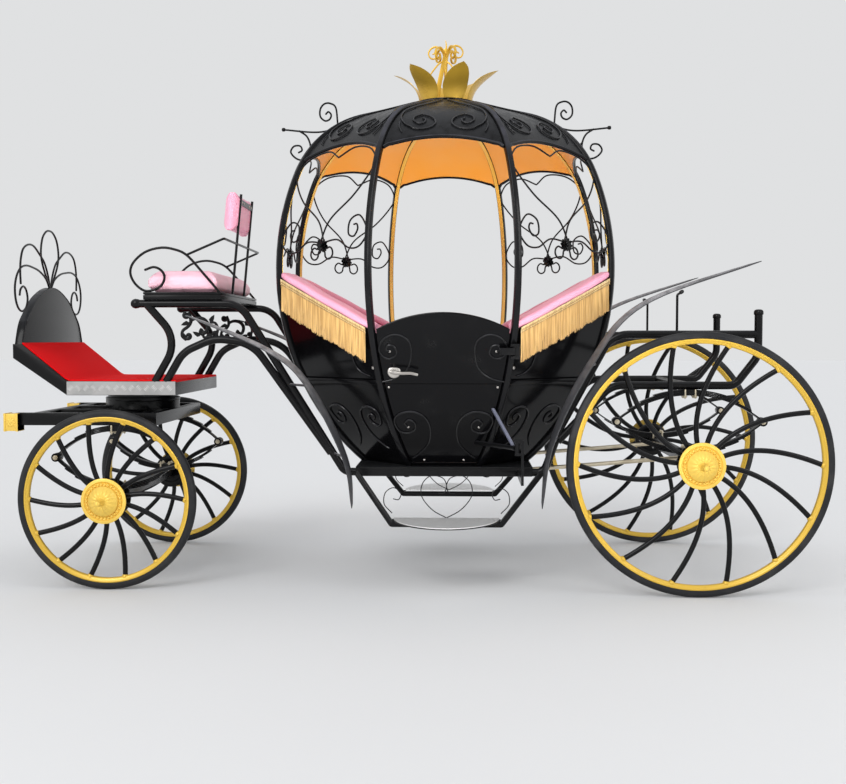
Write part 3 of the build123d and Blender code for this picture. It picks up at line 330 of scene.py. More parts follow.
@dataclass(frozen=True)
class Hide:
    """Upholstery vinyl with leather grain, soft creases and handling shine."""

    name: str
    colour: Triple
    shade: Triple
    rough: float = 0.42

    def material(self) -> bpy.types.Material:
        """The hide's nodes.

        Returns:
            The material.
        """
        g = Graph(self.name)
        grain, soft, crease = g.cells(620.0), g.cloud(6.0, 3.0), g.cloud(34.0, 4.0)
        colour = g.mix(soft.ease(0.35, 0.75) * 0.5, self.colour, self.shade)
        colour = g.mix(grain.ease(0.5, 0.9) * 0.15, colour, self.shade)
        normal = g.bump(grain * 0.55 + crease * 1.3, 0.0011, 0.42)
        return g.finish(colour, crease * 0.16 + (self.rough - 0.06), normal, Coat_Weight=0.12, Coat_Roughness=0.3)


@dataclass(frozen=True)
class Thread:
    """Twisted metallic yarn, each strand a little different."""

    name: str
    colour: Triple
    shade: Triple
    twist: float = 420.0

    def material(self) -> bpy.types.Material:
        """The yarn's nodes.

        Returns:
            The material.
        """
        g = Graph(self.name)
        strand = g.cloud(1.0, 2.0, (130.0, 130.0, 4.0))
        wrap = g.cloud(self.twist, 2.0)
        colour = g.mix(strand.ease(0.32, 0.68), self.shade, self.colour)
        return g.finish(colour, wrap * 0.2 + 0.42, g.bump(wrap, 0.0012, 0.6), Sheen_Weight=0.3, Sheen_Roughness=0.4)


@dataclass(frozen=True)
class Ground:
    """Plain pale floor."""

    name: str = "studio floor"
    colour: Triple = (0.80, 0.80, 0.80)

    def material(self) -> bpy.types.Material:
        """The floor's nodes.

        Returns:
            The material.
        """
        g = Graph(self.name)
        colour = g.mix(g.cloud(1.2, 5.0) * 0.08, self.colour, (0.7, 0.69, 0.68))
        return g.finish(colour, 0.75, g.bump(g.cloud(60.0, 4.0), 0.001, 0.15))


class Look(Enum):
    """The finishes of the carriage."""

    BLACK = Enamel("gloss black", (0.0022, 0.0022, 0.0026), (0.010, 0.0098, 0.0100),
                   rough=0.15, coat=0.05, dust=0.32, shine=0.15)
    IRON = Enamel("black ironwork", (0.0028, 0.0028, 0.0032), (0.015, 0.014, 0.0135),
                  rough=0.28, coat=0.05, dust=0.18, shine=0.22)
    CHASSIS = Enamel("chassis black", (0.0028, 0.0028, 0.0032), (0.013, 0.0125, 0.012),
                     rough=0.24, coat=0.05, dust=0.22, shine=0.2)
    # Rib black: faces that look up are lightened to a bluish grey, a painted sheen of the sky on the rib tops.
    RIB = Enamel("rib black", (0.0030, 0.0030, 0.0036), (0.012, 0.0118, 0.012),
                 rough=0.2, coat=0.08, dust=0.75, dust_and_sheen_colour=(0.10, 0.10, 0.125), shine=0.22)
    # Scroll rod: faces that look up turn grey, a painted highlight along the upper side of the rods.
    SCROLL = Enamel("scroll rod", (0.0045, 0.0045, 0.005), (0.02, 0.0195, 0.019),
                    rough=0.2, coat=0.12, dust=0.42, dust_and_sheen_colour=(0.11, 0.11, 0.13), shine=0.34)
    # Guard leaf: faces that look up turn light grey, a painted highlight along the top of each guard.
    GUARD = Enamel("guard leaf", (0.03, 0.03, 0.033), (0.09, 0.088, 0.088),
                   rough=0.3, dust=0.95, dust_and_sheen_colour=(0.36, 0.35, 0.36))
    STRUT = Enamel("strut paint", (0.10, 0.105, 0.145), (0.06, 0.06, 0.08),
                   rough=0.34, coat=0.1, dust=0.3, dust_and_sheen_colour=(0.24, 0.25, 0.3), shine=0.4)
    # Bright plate: a pale, part-metal colour that stands in for the bright reflection of bare tread plate, a painted
    # highlight.
    PLATE = Enamel("plate with painted highlight", (0.80, 0.79, 0.78), (0.55, 0.54, 0.54),
                   rough=0.3, metal=0.35, coat=0.1, dust=0.1, dust_and_sheen_colour=(0.5, 0.5, 0.48))
    GOLD = Enamel("gold paint", (0.70, 0.44, 0.045), (0.50, 0.29, 0.025),
                  rough=0.36, metal=0.3, dust=0.04, dust_and_sheen_colour=(0.6, 0.5, 0.3))
    CAST = Enamel("cast gold", (0.84, 0.56, 0.09), (0.60, 0.35, 0.04),
                  rough=0.38, metal=0.25, dust=0.04, dust_and_sheen_colour=(0.7, 0.58, 0.34))
    PETAL = Enamel("brushed gold", (0.80, 0.49, 0.055), (0.52, 0.28, 0.02),
                   rough=0.34, metal=0.45, coat=0.15, dust=0.0, dust_and_sheen_colour=(0.30, 0.27, 0.23))
    CHROME = Metal("satin chrome", (0.70, 0.665, 0.62), (0.46, 0.43, 0.40), 0.26)
    ALLOY = Metal("tread plate", (0.52, 0.51, 0.50), (0.38, 0.38, 0.37), 0.34, (30.0, 220.0, 220.0))
    ZINC = Metal("zinc plate", (0.82, 0.74, 0.58), (0.58, 0.50, 0.36), 0.4)
    RUBBER = Rubber()
    CARPET = Pile("red carpet", (0.96, 0.004, 0.007), (0.74, 0.002, 0.004))
    PINK = Hide("pink leather", (0.92, 0.41, 0.55), (0.87, 0.34, 0.48))
    ROSE = Hide("light pink leather", (0.93, 0.54, 0.63), (0.89, 0.47, 0.57))
    LINING = Hide("orange lining", (1.0, 0.44, 0.055), (0.98, 0.50, 0.12), 0.34)
    INLAY = Enamel("gold strip", (0.95, 0.60, 0.10), (0.84, 0.46, 0.05),
                   rough=0.32, metal=0.1, dust=0.0, dust_and_sheen_colour=(0.30, 0.27, 0.23))
    FRINGE = Thread("gold fringe", (0.66, 0.42, 0.15), (0.38, 0.21, 0.06))
    BRAID = Thread("gold braid", (0.80, 0.62, 0.33), (0.58, 0.40, 0.16), 700.0)
    CORD = Thread("knotted cord", (0.50, 0.31, 0.11), (0.26, 0.15, 0.05), 700.0)
    FLOOR = Ground()

    def material(self) -> bpy.types.Material:
        """The finish's material, made once."""
        return bpy.data.materials.get(self.value.name) or self.value.material()


def circle(radius: float, sides: int = 12) -> list[Pair]:
    """Points of a round section."""
    return [(radius * cos(2 * pi * i / sides), radius * sin(2 * pi * i / sides)) for i in range(sides)]


def oblong(wide: float, high: float, corner: float, steps: int = 3) -> list[Pair]:
    """Points of a rectangle with rounded corners.

    Args:
        wide: the full width.
        high: the full height.
        corner: the corners' radius.
        steps: parts of each corner.
    Returns:
        The outline's points.
    """
    points = []
    for quarter, (sx, sy) in enumerate(((1, 1), (-1, 1), (-1, -1), (1, -1))):
        for i in range(steps + 1):
            a = radians(90 * (quarter + i / steps))
            points.append((sx * (wide / 2 - corner) + corner * cos(a), sy * (high / 2 - corner) + corner * sin(a)))
    return points


def bent(points: Sequence[Triple], bends: Sequence[float], count: int = 8) -> list[Vector]:
    """The route through corner points, each corner rounded to its radius.

    Args:
        points: the corner points.
        bends: the radius at each inner corner.
        count: parts of each bend.
    Returns:
        The route's points.
    """
    corners = [Vector(p) for p in points]
    route = [corners[0]]
    for before, corner, after, radius in zip(corners, corners[1:], corners[2:], bends):
        into, out = (corner - before).normalized(), (after - corner).normalized()
        turn = into.angle(out)
        start, end = corner - into * radius * tan(turn / 2), corner + out * radius * tan(turn / 2)
        centre = corner + (out - into).normalized() * radius / cos(turn / 2)
        for i in range(count + 1):
            share = i / count
            spoke = (start - centre) * sin((1 - share) * turn) + (end - centre) * sin(share * turn)
            route.append(centre + spoke / sin(turn))
    return [*route, corners[-1]]


def flow(points: Sequence[Sequence[float]], per: int) -> list[Vector]:
    """A smooth line through points, per steps between neighbours.

    Args:
        points: points that the line passes through.
        per: steps between neighbours.
    Returns:
        The line's points.
    """
    knots = [Vector(p) for p in points]
    knots = [knots[0] * 2 - knots[1], *knots, knots[-1] * 2 - knots[-2]]
    line = []
    for a, b, c, d in zip(knots, knots[1:], knots[2:], knots[3:]):
        for i in range(per):
            u = i / per
            line.append(0.5 * (2 * b + (c - a) * u + (2 * a - 5 * b + 4 * c - d) * u**2
                               + (3 * b - a - 3 * c + d) * u**3))
    return [*line, knots[-2]]


def volute(middle: Pair, inner: float, outer: float, start: float, end: float, count: int = 26) -> list[Pair]:
    """A spiral that opens evenly from its inner to its outer radius.

    Args:
        middle: the spiral's middle.
        inner: its smallest radius.
        outer: its largest radius.
        start: its first angle in degrees.
        end: its last angle.
        count: the number of steps.
    Returns:
        The spiral's points.
    """
    points = []
    for i in range(count + 1):
        share = i / count
        radius, a = inner * (outer / inner) ** share, radians(start + (end - start) * share)
        points.append((middle[0] + radius * cos(a), middle[1] + radius * sin(a)))
    return points


class Shape:
    """Faces drawn in millimetres from the cabin's axis, each with a finish number."""

    def __init__(self) -> None:
        """Start empty."""
        self.points: list[Vector] = []
        self.faces: list[tuple[int, ...]] = []
        self.marks: list[int] = []

    def add(self, points: Iterable[Vector], faces: Iterable[Sequence[int]], mark: int = 0) -> "Shape":
        """Add faces over new points.

        Args:
            points: the new points.
            faces: faces, by the new points' numbers.
            mark: the faces' finish number.
        Returns:
            The shape itself.
        """
        base = len(self.points)
        self.points.extend(Vector(p) for p in points)
        for face in faces:
            self.faces.append(tuple(base + i for i in face))
            self.marks.append(mark)
        return self

    def join(self, *others: "Shape") -> "Shape":
        """Take in other shapes.

        Args:
            others: the shapes to take in.
        Returns:
            The shape itself.
        """
        for other in others:
            base = len(self.points)
            self.points.extend(other.points)
            self.faces.extend(tuple(base + i for i in face) for face in other.faces)
            self.marks.extend(other.marks)
        return self

    def marked(self, mark: int) -> "Shape":
        """The same shape with another finish number."""
        self.marks = [mark] * len(self.marks)
        return self

    def grid(self, rows: Grid, mark: int = 0, across: bool = False,
             along: bool = False) -> "Shape":
        """Quads between rows of points.

        Args:
            rows: equal rows of points.
            mark: finish number.
            across: close each row on itself.
            along: join the last row to the first.
        Returns:
            The shape.
        """
        wide, count = len(rows[0]), len(rows)
        faces = []
        for r in range(count if along else count - 1):
            for c in range(wide if across else wide - 1):
                a, b = r * wide + c, r * wide + (c + 1) % wide
                step = ((r + 1) % count) * wide
                faces.append((a, b, step + (c + 1) % wide, step + c))
        return self.add([p for row in rows for p in row], faces, mark)

    def slab(self, outer: Grid, inner: Grid) -> "Shape":
        """A closed sheet between two grids of the same size.

        Args:
            outer: the outer grid.
            inner: the inner grid.
        Returns:
            The shape itself.
        """
        self.grid(outer)
        self.grid([list(reversed(row)) for row in inner])
        left, right = [row[0] for row in outer], [row[-1] for row in outer]
        in_left, in_right = [row[0] for row in inner], [row[-1] for row in inner]
        for one, two in ((outer[0], inner[0]), (inner[-1], outer[-1]), (in_left, left), (right, in_right)):
            self.grid([two, one])
        return self

    def changed(self, matrix: Matrix) -> "Shape":
        """A copy moved by a matrix.

        Args:
            matrix: the move.
        Returns:
            The moved copy.
        """
        made = Shape()
        made.points = [matrix @ p for p in self.points]
        flip = matrix.to_3x3().determinant() < 0
        made.faces = [tuple(reversed(f)) for f in self.faces] if flip else list(self.faces)
        made.marks = list(self.marks)
        return made

    def other_side(self) -> "Shape":
        """The mirror image on the other side, left to right."""
        return self.changed(Matrix.Scale(-1, 4, (0, 1, 0)))

    def both(self) -> "Shape":
        """The shape and its mirror image."""
        return Shape().join(self, self.other_side())

    def turned(self, angle: float) -> "Shape":
        """The shape turned about the cabin's axis."""
        return self.changed(Matrix.Rotation(radians(angle), 4, "Z"))

    def piece(self, name: str, looks: Sequence[Look], stands_for: Sequence[str] = (), slot: str = "black_paint",
              body: str = "coach", bevel: float = 0.0, sharp: float = 38.0) -> bpy.types.Object:
        """Make the object.

        Args:
            name: the piece's name.
            looks: finishes by finish number.
            stands_for: CAD nodes that it replaces.
            slot: its material slot; not used.
            body: the CAD body that it rides on.
            bevel: width of the rounding on sharp edges, in millimetres.
            sharp: edges that turn more than this many degrees stay crisp.
        Returns:
            The object.
        """
        mesh = bpy.data.meshes.new(name)
        shift = Vector((DATUM_X, 0, 0))
        mesh.from_pydata([(p + shift) * MM for p in self.points], [], self.faces)
        for look in looks:
            mesh.materials.append(look.material())
        mesh.polygons.foreach_set("material_index", self.marks)
        work = welded(mesh)
        bmesh.ops.recalc_face_normals(work, faces=work.faces)
        if bevel > 0:
            crisp = [e for e in work.edges if len(e.link_faces) == 2 and e.calc_face_angle(0) > radians(sharp)]
            bmesh.ops.bevel(work, geom=crisp, offset=bevel * MM, segments=2, profile=0.6, affect="EDGES",
                            clamp_overlap=True)
        for face in work.faces:
            face.smooth = True
        for edge in work.edges:
            edge.smooth = len(edge.link_faces) == 2 and edge.calc_face_angle(0) <= radians(sharp)
        work.to_mesh(mesh)
        work.free()
        return settle(linked(name, mesh), body, stands_for)


def welded(mesh: bpy.types.Mesh) -> bmesh.types.BMesh:
    """A mesh opened for editing, with points that fall together joined.

    Args:
        mesh: the mesh, which stays as it is.
    Returns:
        The editable copy.
    """
    work = bmesh.new()
    work.from_mesh(mesh)
    bmesh.ops.remove_doubles(work, verts=work.verts, dist=WELD)
    return work


def linked(name: str, data: bpy.types.ID) -> bpy.types.Object:
    """A new object in the scene.

    Args:
        name: the object's name.
        data: its mesh, light or camera.
    Returns:
        The object.
    """
    made = bpy.data.objects.new(name, data)
    bpy.context.scene.collection.objects.link(made)
    return made


def settle(made: bpy.types.Object, body: str, stands_for: Sequence[str]) -> bpy.types.Object:
    """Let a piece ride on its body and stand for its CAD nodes.

    Args:
        made: the piece.
        body: the body that it rides on.
        stands_for: the CAD nodes that it replaces.
    Returns:
        The piece.
    """
    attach(made, body)
    if stands_for:
        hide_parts(*stands_for)
    LOG.info("%s on %s, %d faces", made.name, body, len(made.data.polygons))
    return made


def sweep(path: Sequence[Vector], section: Pairs, up: Triple | None = None, mark: int = 0,
          swell: Callable[[float], float] | None = None, domed: bool = False) -> Shape:
    """Carry a section along a line.

    Args:
        path: points of the line.
        section: points across the line, the second number along up.
        up: direction that the section keeps to; by default it turns with the line.
        mark: finish number.
        swell: size of the section by the share of the way along.
        domed: round the ends off.
    Returns:
        The swept shape.
    """
    line = [Vector(p) for p in path]
    line = [p for i, p in enumerate(line) if i == 0 or (p - line[i - 1]).length > 1e-4]
    count = len(line)
    lead = None if up is None else Vector(up)
    rows, side = [], None
    for i, point in enumerate(line):
        tangent = (line[min(i + 1, count - 1)] - line[max(i - 1, 0)]).normalized()
        if lead is not None:
            side = tangent.cross(lead).normalized()
        elif side is None:
            side = tangent.orthogonal().normalized()
        else:
            side = (side - tangent * side.dot(tangent)).normalized()
        over = side.cross(tangent)
        size = swell(i / max(count - 1, 1)) if swell else 1.0
        rows.append([point + (side * a + over * b) * size for a, b in section])
    made = Shape()
    for end, step in ((0, line[0] - line[1]), (-1, line[-1] - line[-2])):
        ring, point = rows[end], line[end]
        reach = max((p - point).length for p in ring)
        caps = [point + step.normalized() * reach * 0.6 + (p - point) * 0.72 for p in ring] if domed else None
        if caps:
            made.grid([ring, caps] if end else [caps, ring], mark, across=True)
            ring = caps
        numbers = list(range(len(ring)))
        made.add(ring, [numbers if end else numbers[::-1]], mark)
    return made.grid(rows, mark, across=True)


def rod(path: Sequence[Sequence[float]], radius: float, mark: int = 0, sides: int = 10, domed: bool = True) -> Shape:
    """A round rod along a line."""
    return sweep([Vector(p) for p in path], circle(radius, sides), mark=mark, domed=domed)


def lathe(profile: Pairs, origin: Triple, axis: Triple, segments: int = 64, mark: int = 0,
          closed: bool = False,
          ripple: Callable[[float, float, float], Pair] | None = None) -> Shape:
    """Turn a profile about an axis.

    Args:
        profile: (radius, distance along the axis) points.
        origin: a point of the axis.
        axis: its direction.
        segments: steps round.
        mark: finish number.
        closed: the profile closes on itself.
        ripple: changes radius and distance by the angle.
    Returns:
        The turned shape.
    """
    way = Vector(axis).normalized()
    side = way.orthogonal().normalized()
    over = way.cross(side)
    rows = []
    for i in range(segments):
        a = 2 * pi * i / segments
        out = side * cos(a) + over * sin(a)
        row = []
        for radius, along in profile:
            r, h = ripple(radius, along, a) if ripple else (radius, along)
            row.append(Vector(origin) + out * r + way * h)
        rows.append(row)
    return Shape().grid(rows, mark, across=closed, along=True)


def prism(outline: Sequence[Triple], shift: Triple) -> Shape:
    """A flat outline carried along a straight line.

    Args:
        outline: the flat outline.
        shift: how far it is carried, and which way.
    Returns:
        The solid.
    """
    low = [Vector(p) for p in outline]
    high = [p + Vector(shift) for p in low]
    count = len(low)
    faces: list[tuple[int, ...]] = [tuple(range(count))[::-1], tuple(range(count, 2 * count))]
    faces += [(i, (i + 1) % count, count + (i + 1) % count, count + i) for i in range(count)]
    return Shape().add([*low, *high], faces)


def box(x: Pair, y: Pair, z: Pair) -> Shape:
    """A box between two corners."""
    corners = [(x[0], y[0], z[0]), (x[1], y[0], z[0]), (x[1], y[1], z[0]), (x[0], y[1], z[0])]
    return prism(corners, (0, 0, z[1] - z[0]))


def traced(node: bpy.types.Object) -> Shape:
    """A CAD node's own faces as a shape, flat triangles joined into whole faces.

    Args:
        node: the CAD node's object.
    Returns:
        The node's faces.
    """
    work = welded(node.data)
    bmesh.ops.dissolve_limit(work, angle_limit=radians(0.5), verts=work.verts, edges=work.edges)
    work.verts.index_update()
    made = Shape()
    made.add([v.co / MM - Vector((DATUM_X, 0, 0)) for v in work.verts],
             [[v.index for v in f.verts] for f in work.faces])
    work.free()
    return made


def bolt(place: Triple, axis: Triple, radius: float = 7.0, mark: int = 0) -> Shape:
    """A hexagon bolt head with its washer.

    Args:
        place: the middle of its seat.
        axis: the way that it points.
        radius: the head's radius.
        mark: finish number.
    Returns:
        The bolt head.
    """
    washer = lathe([(0, 0), (radius * 1.5, 0), (radius * 1.5, 1.6), (radius, 1.6)], place, axis, 20, mark)
    head = lathe([(radius, 1.6), (radius, radius * 0.8), (radius * 0.8, radius * 0.95), (0, radius * 0.95)], place,
                 axis, 6, mark)
    return washer.join(head)


def screw(place: Triple, axis: Triple, radius: float = 5.0, mark: int = 0) -> Shape:
    """A round-headed screw."""
    dome = [(radius * cos(a), radius * 0.55 * sin(a)) for a in (0, 0.4, 0.8, 1.2, 1.57)]
    return lathe([(radius, -2.0), *dome], place, axis, 16, mark)


@dataclass(frozen=True)
class Outline:
    """The cabin's side line, as the radius of the rib line at its turning points."""

    foot: Pair = (434.0, 567.0)
    belly: Pair = (878.0, 1520.0)
    shoulder: Pair = (784.0, 1995.0)
    brow: Pair = (449.0, 2291.0)
    hub: float = 130.0
    ribs: int = 8

    @property
    def half_angle(self) -> float:
        """Half the angle between two ribs, in radians."""
        return pi / self.ribs

    @property
    def flat(self) -> float:
        """Scale from the rib line to the middle of a wall panel."""
        return cos(self.half_angle)

    def point(self, s: float, scale: float, out: float = 0.0) -> tuple[float, float]:
        """Radius and height at s, which runs 0 to 4 from the foot over belly, shoulder and brow to the hub.

        Args:
            s: the place along the rib, 0 to 4.
            scale: share of the radius that is kept.
            out: how far the point stands off.
        Returns:
            The radius and the height.
        """
        foot, belly, shoulder, brow = (p[0] * scale for p in (self.foot, self.belly, self.shoulder, self.brow))
        down, up = self.belly[1] - self.foot[1], self.shoulder[1] - self.belly[1]
        low_x = (belly**2 - foot**2 - down**2) / (2 * (belly - foot))
        high_x = (belly**2 - shoulder**2 - up**2) / (2 * (belly - shoulder))
        alpha = atan2(up, shoulder - high_x)
        dx, dz = brow - shoulder, self.brow[1] - self.shoulder[1]
        cap_r = -(dx**2 + dz**2) / (2 * (dx * cos(alpha) + dz * sin(alpha)))
        cap = (shoulder - cap_r * cos(alpha), self.shoulder[1] - cap_r * sin(alpha))
        beta = atan2(self.brow[1] - cap[1], brow - cap[0])
        if s <= 1:
            low_r = belly - low_x + out
            a = asin(-down / low_r) * (1 - s)
            return low_x + low_r * cos(a), self.belly[1] + low_r * sin(a)
        if s <= 2:
            high_r, a = belly - high_x + out, alpha * (s - 1)
            return high_x + high_r * cos(a), self.belly[1] + high_r * sin(a)
        a = alpha + (beta - alpha) * min(s - 2, 1)
        edge = (cap[0] + (cap_r + out) * cos(a), cap[1] + (cap_r + out) * sin(a))
        if s <= 3:
            return edge
        run = (edge[0] - self.hub * scale) / sin(beta) * (s - 3)
        return edge[0] - run * sin(beta), edge[1] + run * cos(beta)

    def panel(self, s: float) -> Pair:
        """Radius and height of the panel line at s."""
        return self.point(s, self.flat)

    def where(self, test: Callable[[float], float], low: float = 0.0, high: float = 4.0) -> float:
        """The s at which a rising test crosses zero.

        Args:
            test: a value that rises with s.
            low: the range's start.
            high: the range's end.
        Returns:
            The s of the crossing.
        """
        for _ in range(34):
            middle = (low + high) / 2
            low, high = (middle, high) if test(middle) < 0 else (low, middle)
        return (low + high) / 2

    def at_height(self, z: float, scale: float = 1.0, out: float = 0.0) -> float:
        """s at a height."""
        return self.where(lambda s: self.point(s, scale, out)[1] - z)

    def climbed(self, z: float, distance: float) -> float:
        """s on the panel line a distance up the slope from a height.

        Args:
            z: the height to start from.
            distance: the way up the slope.
        Returns:
            The s that is reached.
        """
        s, left = self.at_height(z, self.flat), distance
        step = 0.01
        while left > 0 and s < 4:
            a, b = Vector(self.panel(s)), Vector(self.panel(s + step))
            left -= (b - a).length
            s += step
        return s


@dataclass(frozen=True)
class Axle:
    """One end's axle: where it stands, its wheels and its springs."""

    end: str
    body: str
    x: float
    radius: float
    half_track: float
    hub_lead: float
    middle_lead: float
    spring_top: float
    half_span: float


@dataclass(frozen=True)
class Layout:
    """Sizes that the tubes, springs, steps, guards and footboard share."""

    side_y: float = 450.0
    base_z: float = 541.0
    board_top: float = 977.0
    seat_z: float = 1352.0
    king_x: float = -1585.0
    post_x: float = 1493.0
    rear_top: float = 1203.0
    rear_low: float = 960.0


OUTLINE = Outline()
LAYOUT = Layout()
FRONT = Axle("front", "fore_carriage", x=LAYOUT.king_x, radius=425.0, half_track=635.0,
             hub_lead=5.0, middle_lead=7.0, spring_top=763.0, half_span=300.0)
REAR = Axle("rear", "coach", x=1170.0, radius=608.0, half_track=715.0,
            hub_lead=14.0, middle_lead=11.0, spring_top=941.0, half_span=345.0)
Edge = Callable[[float], float]


@dataclass(frozen=True)
class Gore:
    """One wall face between two ribs; it faces a direction, and may be flipped side for side."""

    facing: float
    flip: bool = False

    def place(self, t: float, s: float, out: float = 0.0) -> Vector:
        """The point t along the face at s, moved out.

        Args:
            t: distance from the face's middle.
            s: the place along the rib.
            out: how far the point stands off.
        Returns:
            The point.
        """
        radius, z = OUTLINE.point(s, OUTLINE.flat, out)
        across = -t if self.flip else t
        a = radians(self.facing)
        return Vector((radius * cos(a) - across * sin(a), radius * sin(a) + across * cos(a), z))

    def on(self, t: float, z: float, out: float = 0.0) -> Vector:
        """The point t along the face at a height."""
        return self.place(t, OUTLINE.at_height(z, OUTLINE.flat, out), out)

    def half(self, s: float, clear: float) -> float:
        """Half the face's width at s, a distance clear of the ribs' middle planes."""
        radius = OUTLINE.panel(s)[0]
        return radius * tan(OUTLINE.half_angle) - clear / cos(OUTLINE.half_angle)

    def crossing(self, edge: Edge, share: float, clear: float) -> float:
        """s where the line at a share of the width meets an edge."""
        return OUTLINE.where(lambda s: OUTLINE.panel(s)[1] - edge(share * self.half(s, clear)), 0, 3.97)

    def sheet(self, low: Edge, high: Edge, out: float, clear: float, columns: int = 16,
              rows: int = 14) -> list[list[Vector]]:
        """A grid of points between two edges.

        Args:
            low: the lower edge, a height for each distance across.
            high: the upper edge.
            out: how far the sheet stands off.
            clear: the distance kept from the ribs' middle planes.
            columns: the grid's columns.
            rows: the grid's rows.
        Returns:
            Rows of points.
        """
        grid = []
        for c in range(columns + 1):
            share = 2 * c / columns - 1
            start, end = self.crossing(low, share, clear), self.crossing(high, share, clear)
            line = [start + (end - start) * r / rows for r in range(rows + 1)]
            grid.append([self.place(share * self.half(s, clear), s, out) for s in line])
        return grid if not self.flip else grid[::-1]

    def panel(self, low: Edge, high: Edge, outs: Pair, clear: float, columns: int, rows: int) -> Shape:
        """A closed sheet between two edges and between two distances from the panel line."""
        return Shape().slab(*[self.sheet(low, high, out, clear, columns, rows) for out in outs])

    def line(self, points: Pairs, out: float, per: int) -> list[Vector]:
        """A smooth line through (t, height) points on the face."""
        return [self.on(p.x, p.y, out) for p in flow(points, per)]


def level(z: float) -> Edge:
    """An edge at one height."""
    return lambda t: z


@dataclass(frozen=True)
class Cabin:
    """Sizes that the cabin's walls share."""

    belt: float = 980.0
    wall_foot: float = 568.0
    door_foot: float = 587.0
    door_side: float = 1205.0
    door_top: float = 1298.0
    door_half: float = 330.0
    quarter_low: float = 1225.0
    quarter_high: float = 1466.0
    wall: float = 12.0
    arch_top: float = 2108.0
    arch_side: float = 2072.0
    arch_half: float = 235.0
    arch_corner: float = 55.0
    roll: float = 42.0
    fringe: float = 148.0

    @property
    def quarters(self) -> tuple[Gore, ...]:
        """The four faces beside the doors."""
        return Gore(45), Gore(135, True), Gore(225), Gore(315, True)

    @property
    def ends(self) -> tuple[Gore, ...]:
        """The faces to the rear and the front."""
        return Gore(0), Gore(180)

    @property
    def windows(self) -> tuple[Gore, ...]:
        """The six faces beside the doors."""
        return *self.quarters, *self.ends

    def quarter_top(self, t: float) -> float:
        """Height of a quarter panel's top edge, which falls towards the door."""
        return self.quarter_high - (self.quarter_high - self.quarter_low) / 600.0 * (t + 300.0)

    def lowered(self, drop: float) -> Edge:
        """The quarter panel's top edge, a distance lower."""
        return lambda t: self.quarter_top(t) - drop

    def door_arch(self, t: float) -> float:
        """Height of the door's arched top.

        Args:
            t: distance from the face's middle.
        Returns:
            The height.
        """
        rise = self.door_top - self.door_side
        radius = (self.door_half**2 + rise**2) / (2 * rise)
        return self.door_top - radius + sqrt(radius**2 - t**2)

    def roof_arch(self, t: float) -> float:
        """Height of the arch under a roof face.

        Args:
            t: distance from the face's middle.
        Returns:
            The height.
        """
        side, rise = abs(t), self.arch_top - self.arch_side
        if side <= self.arch_half:
            radius = (self.arch_half**2 + rise**2) / (2 * rise)
            return self.arch_top - radius + sqrt(radius**2 - t**2)
        share = min((side - self.arch_half) / self.arch_corner, 1.0)
        return self.arch_side - 61.0 + 61.0 * sqrt(1 - share**2)


CABIN = Cabin()


